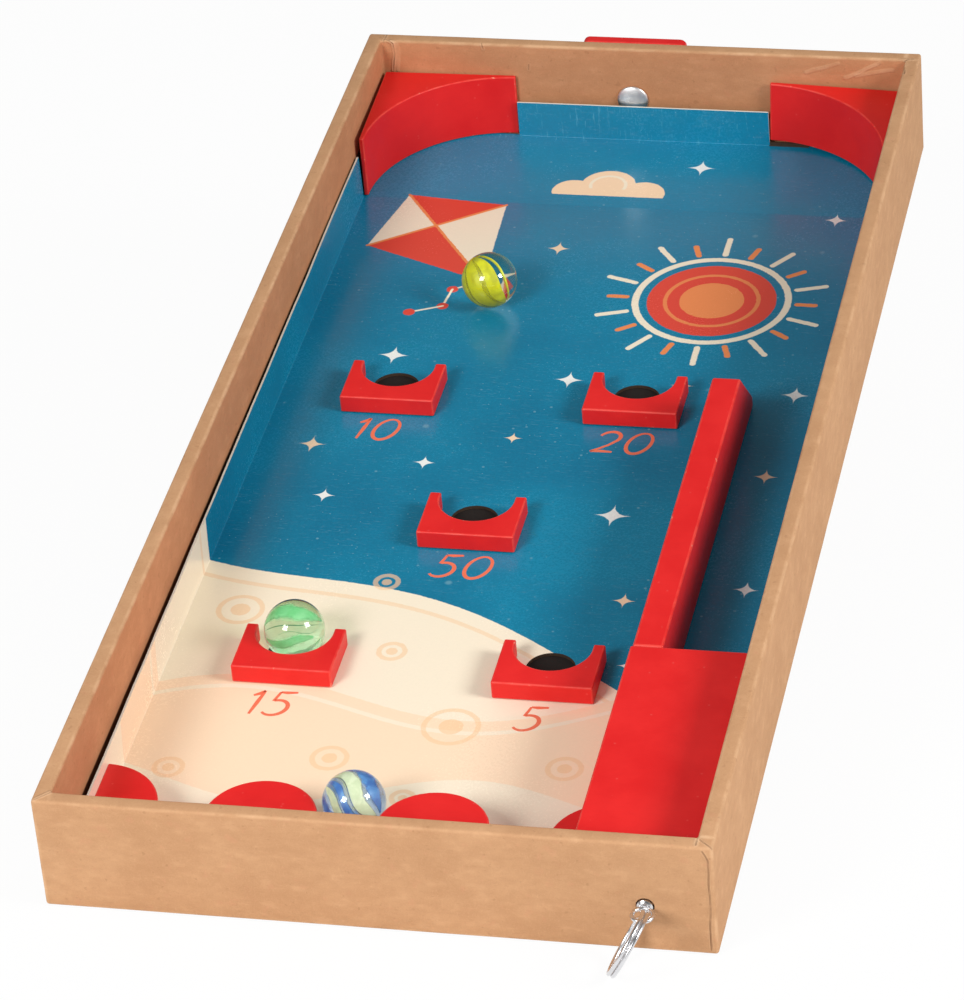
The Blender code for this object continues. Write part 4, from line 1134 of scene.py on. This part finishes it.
def crest_side(centre_x, radius, side):
    """Half a crest from its trough up to its top, with a fillet at the foot."""
    rise = CREST_FILLET + CREST_DROP
    fillet_x = math.sqrt((radius + CREST_FILLET) ** 2 - rise ** 2)
    meet = math.atan2(rise, fillet_x)
    fillet = arc((fillet_x, CREST_FILLET), CREST_FILLET, -math.pi / 2, meet - math.pi, 10)
    flank = arc((0, -CREST_DROP), radius, meet, math.pi / 2, 24)
    return [(centre_x + side * x, y) for x, y in fillet + flank[1:]]


def make_front_scallop():
    low, high = board_box("front_scallop")
    depth, period, first, radius, side_radius = 0.0205, 0.0433, -0.0344, 0.0142, 0.0166
    trough = low.y + depth
    edge = crest_side(low.x, side_radius, 1)[::-1]
    centre = first
    while centre + radius < high.x:
        edge += crest_side(centre, radius, -1)
        edge += crest_side(centre, radius, 1)[::-1][1:]
        centre += period
    last = [(x, y) for x, y in crest_side(centre, radius, -1) if x < high.x]
    edge += last + [(high.x, math.sqrt(radius ** 2 - (high.x - centre) ** 2) - CREST_DROP)]
    outline = [(x, trough + y) for x, y in [(low.x, -depth), *edge, (high.x, -depth)]]
    shape = soften(slab(outline[::-1], low.z, high.z), 0.0005, 3)
    add_piece("scalloped_rest", shape, [RED_PAINT], "board", ["front_scallop"])


def make_leg():
    low, high = board_box("stand_leg")
    radius = LEG_CORNER_RADIUS
    half = (high.x - low.x) / 2 - radius
    middle = (low.x + high.x) / 2
    outline = []
    for x, z, start in ((half, low.z + radius, -90), (half, high.z - radius, 0),
                        (-half, high.z - radius, 90), (-half, low.z + radius, 180)):
        outline += arc((middle + x, z), radius, math.radians(start), math.radians(start + 90), 12)
    shape = prism([(x, low.y, z) for x, z in outline], [(x, high.y, z) for x, z in outline])
    soften(shape, 0.0006, 4)
    bore = rod_shape((PIVOT.x, low.y - CUT_OVERRUN, PIVOT.z), BORE_RADIUS, 0.008)
    shape = cut_with(shape, [bore])
    add_piece("leg_board", shape, [RED_PAINT], "leg", ["stand_leg"])


# Steel pieces

def turned_shape(profile, centre, axis=(0, 1, 0)):
    """Turns a closed profile of (radius, height) pairs about an axis."""
    segments = 64
    shape = bmesh.new()
    turn = Vector(axis).to_track_quat("Z", "Y").to_matrix().to_4x4()
    rings = []
    for radius, height in profile:
        if radius < 0.000001:
            rings.append([shape.verts.new((0, 0, height))])
        else:
            rings.append([shape.verts.new((radius * math.cos(2 * math.pi * step / segments),
                                           radius * math.sin(2 * math.pi * step / segments), height))
                          for step in range(segments)])
    for first, second in zip(rings, rings[1:] + rings[:1]):
        if len(first) == 1 and len(second) == 1:
            continue
        for step in range(segments):
            after = (step + 1) % segments
            corners = [first[step % len(first)], first[after % len(first)],
                       second[after % len(second)], second[step % len(second)]]
            distinct = list(dict.fromkeys(corners))
            if len(distinct) > 2:
                shape.faces.new(distinct)
    bmesh.ops.recalc_face_normals(shape, faces=shape.faces)
    bmesh.ops.transform(shape, matrix=Matrix.Translation(centre) @ turn, verts=shape.verts)
    return shape


def washer_shape(node, bore_radius):
    low, high = board_box(node)
    thickness = high.y - low.y
    outer = (high.x - low.x) / 2
    rim = 0.00012
    profile = [(bore_radius + rim, thickness), (outer - rim, thickness), (outer, thickness - rim),
               (outer, rim), (outer - rim, 0), (bore_radius + rim, 0), (bore_radius, rim),
               (bore_radius, thickness - rim)]
    return turned_shape(profile, ((low.x + high.x) / 2, low.y, (low.z + high.z) / 2))


def make_washers():
    for node, bore, body in (("front_washer", BORE_RADIUS, "board"),
                             ("spring_washer", GRIP_RADIUS, "plunger"),
                             ("leg_washer", BORE_RADIUS, "board")):
        add_piece(node + "_steel", washer_shape(node, bore), [STEEL], body, [node],
                  weighted=False)


def make_leg_screw():
    low, high = board_box("leg_screw")
    head = (high.x - low.x) / 2
    rim, crown, shank = 0.0003, 0.0012, ROD_RADIUS
    base = low.y + rim + crown
    tip = high.y - base
    profile = [(0, tip), (shank - 0.0003, tip), (shank, tip - 0.0003), (shank, 0),
               (head - 0.0002, 0), (head, -0.0001)]
    for step in range(17):
        turn = math.pi / 2 * step / 16
        profile.append((head * math.cos(turn) if step < 16 else 0, -rim - crown * math.sin(turn)))
    shape = turned_shape(profile, (PIVOT.x, base, PIVOT.z))
    add_piece("leg_pivot_screw", shape, [NICKEL], "board", ["leg_screw"],
              weighted=False)


def make_leg_nut():
    """A hexagon whose corners are turned off at both ends."""
    low, high = board_box("leg_nut")
    across = high.x - low.x
    radius = across / 2 / math.cos(math.pi / 6)
    length = high.y - low.y
    hexagon = bmesh.new()
    bmesh.ops.create_cone(hexagon, cap_ends=True, segments=6, radius1=radius, radius2=radius, depth=length)
    half, shoulder, wide = length / 2, length / 2 - 0.0005, radius + 0.0001
    profile = [(0, -half), (across / 2, -half), (wide, -shoulder), (wide, shoulder),
               (across / 2, half), (0, half)]
    body = linked("hexagon", mesh_of("hexagon", hexagon))
    tool = linked("chamfer", mesh_of("chamfer", turned_shape(profile, (0, 0, 0), (0, 0, 1))))
    meet = body.modifiers.new("chamfer", "BOOLEAN")
    meet.object = tool
    meet.operation = "INTERSECT"
    shape = shape_of(evaluated_mesh(body, tool))
    bmesh.ops.transform(shape, matrix=Matrix.Translation((PIVOT.x, (low.y + high.y) / 2, PIVOT.z))
                        @ Matrix.Rotation(math.pi / 2, 4, "X"), verts=shape.verts)
    bore = rod_shape((PIVOT.x, low.y - 0.001, PIVOT.z), GRIP_RADIUS, length + 0.002)
    shape = cut_with(shape, [bore])
    add_piece("leg_pivot_nut", shape, [STEEL], "board", ["leg_nut"])


def wire_mesh(points, diameter, name, closed=False):
    """A round wire along points, in the frame that the points are in."""
    curve = bpy.data.curves.new(name, "CURVE")
    curve.dimensions = "3D"
    curve.bevel_depth = diameter / 2
    curve.bevel_resolution = 5
    curve.use_fill_caps = not closed
    spline = curve.splines.new("POLY")
    spline.points.add(len(points) - 1)
    for point, place in zip(spline.points, points):
        point.co = (*place, 1)
    spline.use_cyclic_u = closed
    shape = shape_of(evaluated_mesh(linked(name, curve)))
    bmesh.ops.remove_doubles(shape, verts=shape.verts, dist=0.0000005)
    bmesh.ops.recalc_face_normals(shape, faces=shape.faces)
    return mesh_of(name, shape)


def make_plunger():
    """The rod with its bent eye, and the striker that closes over its inner end."""
    low, high = board_box("plunger_rod")
    eye_radius, eye_wire = 0.0025, 0.0011
    rod_front = ROD_CENTRE.y + eye_radius
    tip = 0.0004
    length = high.y - rod_front
    profile = [(0, 0), (ROD_RADIUS - tip, 0), (ROD_RADIUS, tip), (ROD_RADIUS, length - tip),
               (ROD_RADIUS - tip, length), (0, length)]
    rod = turned_shape(profile, (ROD_CENTRE.x, rod_front, ROD_CENTRE.z))
    add_piece("rod_steel", rod, [STEEL], "plunger", ["plunger_rod"], weighted=False)
    turns = [2 * math.pi * step / 64 for step in range(64)]
    bend = [(ROD_CENTRE.x + eye_radius * math.cos(turn), ROD_CENTRE.y + eye_radius * math.sin(turn),
             ROD_CENTRE.z) for turn in turns]
    eye = wire_mesh(bend, eye_wire, "rod_eye", closed=True)
    finish_piece("rod_eye", eye, [STEEL], "plunger", weighted=False)

    low, high = board_box("plunger_striker")
    radius, length, edge = (high.x - low.x) / 2, high.y - low.y, 0.001
    socket_depth = 0.008
    profile = [(0, socket_depth), (GRIP_RADIUS, socket_depth), (GRIP_RADIUS, 0)]
    for centre, start in (((radius - edge, edge), -90), ((radius - edge, length - edge), 0)):
        profile += arc(centre, edge, math.radians(start), math.radians(start + 90), 6)
    profile += [(0, length)]
    striker = turned_shape(profile, (ROD_CENTRE.x, low.y, ROD_CENTRE.z))
    add_piece("striker_head", striker, [RED_PAINT], "plunger", ["plunger_striker"],
              weighted=False)


def coil_tree():
    """A wire coiled round an axis: turns, radius, length and the wire's own radius are its inputs."""
    tree = bpy.data.node_groups.new("coil", "GeometryNodeTree")
    tree.is_modifier = True
    identifiers = {}
    for name in ("Turns", "Radius", "Length", "Wire Radius"):
        socket = tree.interface.new_socket(name=name, in_out="INPUT", socket_type="NodeSocketFloat")
        identifiers[name] = socket.identifier
    tree.interface.new_socket(name="Geometry", in_out="OUTPUT", socket_type="NodeSocketGeometry")
    nodes, links = tree.nodes, tree.links
    sizes = nodes.new("NodeGroupInput")
    spiral = nodes.new("GeometryNodeCurveSpiral")
    spiral.inputs["Resolution"].default_value = 28
    links.new(sizes.outputs["Turns"], spiral.inputs["Rotations"])
    links.new(sizes.outputs["Radius"], spiral.inputs["Start Radius"])
    links.new(sizes.outputs["Radius"], spiral.inputs["End Radius"])
    links.new(sizes.outputs["Length"], spiral.inputs["Height"])
    section = nodes.new("GeometryNodeCurvePrimitiveCircle")
    section.inputs["Resolution"].default_value = 10
    links.new(sizes.outputs["Wire Radius"], section.inputs["Radius"])
    wire = nodes.new("GeometryNodeCurveToMesh")
    wire.inputs["Fill Caps"].default_value = True
    links.new(spiral.outputs["Curve"], wire.inputs["Curve"])
    links.new(section.outputs["Curve"], wire.inputs["Profile Curve"])
    whole = nodes.new("GeometryNodeRealizeInstances")
    links.new(wire.outputs["Mesh"], whole.inputs["Geometry"])
    painted = nodes.new("GeometryNodeSetMaterial")
    painted.inputs["Material"].default_value = STEEL
    links.new(whole.outputs["Geometry"], painted.inputs["Geometry"])
    result = nodes.new("NodeGroupOutput")
    links.new(painted.outputs["Geometry"], result.inputs["Geometry"])
    return tree, identifiers


def make_spring():
    low, high = board_box("plunger_spring")
    wire, turns = 0.0008, 22
    length = high.y - low.y
    tree, identifiers = coil_tree()
    holder = linked("coil", bpy.data.meshes.new("coil"))
    coil = holder.modifiers.new("coil", "NODES")
    coil.node_group = tree
    sizes = {"Turns": float(turns), "Radius": (high.x - low.x - wire) / 2, "Length": length - wire,
             "Wire Radius": wire / 2}
    for name, value in sizes.items():
        coil[identifiers[name]] = value
    mesh = evaluated_mesh(holder)
    shape = bmesh.new()
    shape.from_mesh(mesh)
    bmesh.ops.recalc_face_normals(shape, faces=shape.faces)
    shape.to_mesh(mesh)
    shape.free()
    foot = Matrix.Translation((ROD_CENTRE.x, low.y + wire / 2, ROD_CENTRE.z))
    mesh.transform(foot @ Matrix.Rotation(-math.pi / 2, 4, "X"))
    spring = finish_piece("spring_wire", mesh, [], "board", ["plunger_spring"],
                          weighted=False)
    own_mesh(spring)


def make_pull_ring():
    """A split ring of two turns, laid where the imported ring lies."""
    axis = -Vector(JOINTS["ring_swing"]["axis"])
    eye = Vector(JOINTS["ring_swing"]["pos_m"])
    points = [vertex.co - eye for vertex in frame["nodes"]["pull_ring"].data.vertices]
    guess = sum(points, Vector()) / len(points)
    first = (guess - axis * guess.dot(axis)).normalized()
    second = axis.cross(first)
    along = [point.dot(first) for point in points]
    across = [point.dot(second) for point in points]
    middle = first * (min(along) + max(along)) / 2 + second * (min(across) + max(across)) / 2
    towards = middle.normalized()
    wire, pitch, diameter = 0.00105, 0.0011, 0.0178
    radius = (diameter - wire) / 2
    step_angle, end_angle, gate = math.radians(36), math.radians(12), math.radians(10)
    total = 4 * math.pi - step_angle - end_angle
    count = 260
    side = axis.cross(towards)
    route = []
    for index in range(count + 1):
        travelled = total * index / count
        climb = min(max((travelled - (2 * math.pi - step_angle)) / step_angle, 0), 1)
        rise = pitch * (climb * climb * (3 - 2 * climb) - 0.5)
        turn = gate + travelled + math.pi
        route.append(eye + towards * (radius + radius * math.cos(turn))
                     + side * (radius * math.sin(turn)) + axis * rise)
    mesh = wire_mesh(route, wire, "split_ring")
    finish_piece("split_ring", mesh, [STEEL], "ring", ["pull_ring"],
                 weighted=False, turn=Matrix.Identity(4))


# Marbles

def ribbon_mesh(name, radius, spin, middle, width, twist=0.0, sway=0.0, outer=0.9, inner=0.87,
                reach=1.32, shift=0.0, taper=0.85):
    """A ribbon of glass along a marble's axis, between two depths; angles are in radians."""
    shape = bmesh.new()
    across = shape.verts.layers.float.new("across")
    lengths, widths = 56, 24

    def sheet(depth):
        rows = []
        for row in range(lengths + 1):
            part = -1 + 2 * row / lengths
            up = reach * part + shift
            narrow = math.sqrt(max(math.cos(part * math.pi / 2), 0))
            line = []
            for column in range(widths + 1):
                share = column / widths
                turn = middle + twist * part + sway * math.sin(math.pi * part)
                turn += width * (share - 0.5) * (1 - taper + taper * narrow)
                place = Vector((math.cos(up) * math.cos(turn), math.cos(up) * math.sin(turn), math.sin(up)))
                vertex = shape.verts.new(spin @ (place * radius * depth))
                vertex[across] = share
                line.append(vertex)
            rows.append(line)
        return rows

    near, far = sheet(outer), sheet(inner)
    for first, second in zip(near, near[1:]):
        for a, b, c, d in zip(first, first[1:], second[1:], second):
            shape.faces.new((a, b, c, d))
    for first, second in zip(far, far[1:]):
        for a, b, c, d in zip(first, first[1:], second[1:], second):
            shape.faces.new((d, c, b, a))
    rim, rim_far = [rows[0] + [row[-1] for row in rows[1:]] + rows[-1][-2::-1]
                    + [row[0] for row in rows[-2:0:-1]] for rows in (near, far)]
    for index in range(len(rim)):
        after = (index + 1) % len(rim)
        shape.faces.new((rim[index], rim_far[index], rim_far[after], rim[after]))
    bmesh.ops.recalc_face_normals(shape, faces=shape.faces)
    return mesh_of(name, shape)


def marble_spin(right, up, near):
    """Turns a marble's axis as the camera sees it, with its front towards the camera."""
    board_turn = BOARD.to_3x3()
    sides = [board_turn @ side for side in (CAMERA_RIGHT, CAMERA_UP, -CAMERA_FORWARD)]
    axis = (sides[0] * right + sides[1] * up + sides[2] * near).normalized()
    front = (sides[2] - axis * sides[2].dot(axis)).normalized()
    return Matrix((front, axis.cross(front), axis)).transposed()


def make_marble(node, body, colour, axis, ribbons):
    """A ball of clear glass with its ribbons inside."""
    low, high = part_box(node)
    centre = (low + high) / 2
    radius = (high.z - low.z) / 2
    shape = bmesh.new()
    bmesh.ops.create_uvsphere(shape, u_segments=96, v_segments=48, radius=radius * 0.999)
    ball = node + "_glass"
    place = Matrix.Translation(centre)
    finish_piece(ball, mesh_of(ball, shape), [glass_finish(ball, colour)], body, [node],
                 weighted=False, turn=place)
    spin = marble_spin(*axis)
    for index, (sizes, inks) in enumerate(ribbons):
        name = f"{node}_ribbon_{index + 1}"
        mesh = ribbon_mesh(name, radius, spin, **sizes)
        finish_piece(name, mesh, [ribbon_finish(name, **inks)], body, weighted=False,
                     turn=place)


def make_marbles():
    lemon, moss = tint(214, 206, 16), tint(184, 176, 14)
    make_marble("marble_yellow", "yellow_marble", tint(226, 236, 232),
                (-0.583, 0.813, 0.05), [
        (dict(middle=-0.85, width=2.3, outer=0.93, inner=0.7, sway=0.1, reach=1.48, taper=0.1),
         dict(main=lemon, second=moss)),
        (dict(middle=-0.3, width=0.22, outer=0.955, inner=0.94, sway=0.14),
         dict(main=tint(196, 188, 18), second=moss, cover=0.55, soft=0.35)),
        (dict(middle=-1.05, width=0.16, outer=0.955, inner=0.94, sway=0.1),
         dict(main=tint(190, 182, 18), second=moss, cover=0.5, soft=0.35)),
        (dict(middle=0.58, width=0.06, outer=0.92, inner=0.8, sway=0.08, reach=1.4, taper=0.2),
         dict(main=tint(226, 220, 60), second=lemon)),
    ])
    mint, leaf = tint(160, 218, 174), tint(118, 198, 142)
    make_marble("marble_green", "green_marble", tint(214, 234, 212),
                (1.0, 0.12, 0.1), [
        (dict(middle=-0.74, width=0.92, outer=0.93, inner=0.9, sway=0.12),
         dict(main=mint, second=leaf, cover=0.85, soft=0.3)),
        (dict(middle=0.46, width=0.5, sway=-0.1, shift=-0.2, reach=1.0),
         dict(main=leaf, second=mint, cover=0.9, soft=0.35)),
        (dict(middle=-0.19, width=0.035, sway=0.05),
         dict(main=tint(52, 112, 74), second=tint(80, 140, 96))),
        (dict(middle=0.12, width=0.02, sway=0.1, shift=0.3, reach=0.8),
         dict(main=tint(70, 130, 92), second=tint(110, 160, 120))),
        (dict(middle=0.95, width=0.3, shift=0.4, reach=0.7),
         dict(main=mint, second=tint(220, 236, 216), cover=0.8, soft=0.3)),
        (dict(middle=2.7, width=1.1, sway=0.1),
         dict(main=mint, second=tint(206, 232, 206), cover=0.6, soft=0.35)),
    ])
    blue, deep, olive = tint(96, 150, 206), tint(56, 104, 176), tint(196, 202, 168)
    make_marble("marble_blue", "blue_marble", tint(232, 240, 236),
                (0.78, -0.55, 0.3), [
        (dict(middle=-1.2, width=0.9, twist=0.2, sway=0.2),
         dict(main=blue, second=deep, cover=0.95, soft=0.25)),
        (dict(middle=-0.42, width=0.72, twist=0.2, sway=0.24, outer=0.93, inner=0.9),
         dict(main=olive, second=tint(214, 216, 188), soft=0.14)),
        (dict(middle=0.14, width=0.34, twist=0.25, sway=0.2),
         dict(main=deep, second=blue, soft=0.2)),
        (dict(middle=0.56, width=0.4, twist=0.2, sway=0.22),
         dict(main=olive, second=tint(220, 222, 182), soft=0.2)),
        (dict(middle=1.1, width=0.7, twist=0.1, sway=0.16),
         dict(main=blue, second=deep, cover=0.95, soft=0.25)),
        (dict(middle=-0.16, width=0.03, twist=0.2, sway=0.24, outer=0.95, inner=0.93),
         dict(main=tint(40, 50, 60), second=deep)),
        (dict(middle=0.34, width=0.02, twist=0.2, sway=0.24, outer=0.95, inner=0.93),
         dict(main=tint(60, 70, 90), second=deep)),
        (dict(middle=2.8, width=1.5, twist=0.2),
         dict(main=tint(214, 222, 226), second=blue, cover=0.7, soft=0.25)),
    ])


# Stage, light and camera

def make_stage():
    """A pale floor that looks white but keeps the shadow."""
    finish = Finish("studio_floor")
    grain = finish.noise(40, 2)
    finish.set(Base_Color=finish.mix(grain, (0.86, 0.86, 0.85, 1), (0.88, 0.88, 0.87, 1)), Roughness=0.9)
    light = finish.node("ShaderNodeLightPath")
    seen = finish.math("MAXIMUM", light.outputs["Is Camera Ray"], light.outputs["Is Glossy Ray"])
    seen = seen.most(Number(finish, light.outputs["Is Transmission Ray"]))
    white = finish.node("ShaderNodeEmission", inputs={"Color": (1, 1, 1, 1), "Strength": 1.0})
    blend = finish.node("ShaderNodeMixShader", inputs={
        0: seen * 0.95, 1: finish.surface.outputs[0], 2: white.outputs[0],
    })
    finish.links.new(blend.outputs[0], finish.output.inputs["Surface"])
    shape = bmesh.new()
    bmesh.ops.create_grid(shape, x_segments=4, y_segments=4, size=6)
    bmesh.ops.translate(shape, vec=(0, 0, -0.0002), verts=shape.verts)
    mesh = mesh_of("studio_floor", shape)
    mesh.materials.append(finish.material)
    linked("studio_floor", mesh)


def make_world():
    """White to the camera and through glass, dim in reflections, a soft light on the rest."""
    world = bpy.data.worlds.new("studio")
    bpy.context.scene.world = world
    world.use_nodes = True
    nodes, links = world.node_tree.nodes, world.node_tree.links
    nodes.clear()
    path = nodes.new("ShaderNodeLightPath")
    soft, mirrored, white = [nodes.new("ShaderNodeBackground") for _ in range(3)]
    for background, strength in ((soft, 0.36), (mirrored, 0.14), (white, 1.0)):
        background.inputs["Color"].default_value = (1, 1, 1, 1)
        background.inputs["Strength"].default_value = strength
    either = nodes.new("ShaderNodeMath")
    either.operation = "MAXIMUM"
    links.new(path.outputs["Is Camera Ray"], either.inputs[0])
    links.new(path.outputs["Is Transmission Ray"], either.inputs[1])
    around = nodes.new("ShaderNodeMixShader")
    links.new(path.outputs["Is Glossy Ray"], around.inputs[0])
    links.new(soft.outputs[0], around.inputs[1])
    links.new(mirrored.outputs[0], around.inputs[2])
    blend = nodes.new("ShaderNodeMixShader")
    output = nodes.new("ShaderNodeOutputWorld")
    links.new(either.outputs[0], blend.inputs[0])
    links.new(around.outputs[0], blend.inputs[1])
    links.new(white.outputs[0], blend.inputs[2])
    links.new(blend.outputs[0], output.inputs[0])


def area_light(name, place, target, size, power):
    data = bpy.data.lights.new(name, "AREA")
    data.shape = "RECTANGLE"
    data.size, data.size_y = size
    data.energy = power
    lamp = linked(name, data)
    lamp.location = place
    lamp.rotation_euler = (Vector(target) - Vector(place)).to_track_quat("-Z", "Y").to_euler()


# The two softboxes, placed by the highlights on each marble; directions are in the board's frame
LEFT_SOFTBOX = Vector((-0.375, -0.717, 0.588))
RIGHT_SOFTBOX = Vector((0.810, -0.216, 0.546))
SOFTBOX_DISTANCE = 1.3
SOFTBOX_SIZE = (0.4, 0.4)


def make_lights():
    for name, direction, power in (("left_softbox", LEFT_SOFTBOX, 10.4),
                                   ("right_softbox", RIGHT_SOFTBOX, 11.2)):
        place = BOARD @ (direction * SOFTBOX_DISTANCE)
        area_light(name, place, BOARD.translation, SOFTBOX_SIZE, power)


CAMERA_PLACE = Vector((0.267306, -1.083298, 0.764403))
CAMERA_RIGHT = Vector((0.97688835, 0.20072343, -0.07347958))
CAMERA_UP = Vector((-0.05502301, 0.56832169, 0.82096463))
CAMERA_FORWARD = Vector((-0.20654688, 0.79794772, -0.56623125))
CAMERA_LENS = 179.52
SENSOR = 36


def make_camera():
    """The photograph's viewpoint, found in the board's frame from the tray's edges."""
    data = bpy.data.cameras.new("camera")
    data.lens = CAMERA_LENS
    data.sensor_width = SENSOR
    data.sensor_fit = "AUTO"
    data.clip_start = 0.01
    data.clip_end = 50
    camera = linked("camera", data)
    turn = Matrix((CAMERA_RIGHT, CAMERA_UP, -CAMERA_FORWARD)).transposed().to_4x4()
    turn.translation = CAMERA_PLACE
    camera.matrix_world = BOARD @ turn
    bpy.context.scene.camera = camera


make_tray()
make_paper_flaps()
make_backing_sheet()
make_playfield()
make_numbers()
make_catchers()
make_corner_deflectors()
make_lane_bar()
make_plunger_housing()
make_front_scallop()
make_leg()
make_washers()
make_leg_screw()
make_leg_nut()
make_plunger()
make_spring()
make_pull_ring()
make_marbles()
make_stage()
make_world()
make_lights()
make_camera()

bpy.context.scene.view_settings.view_transform = "Standard"
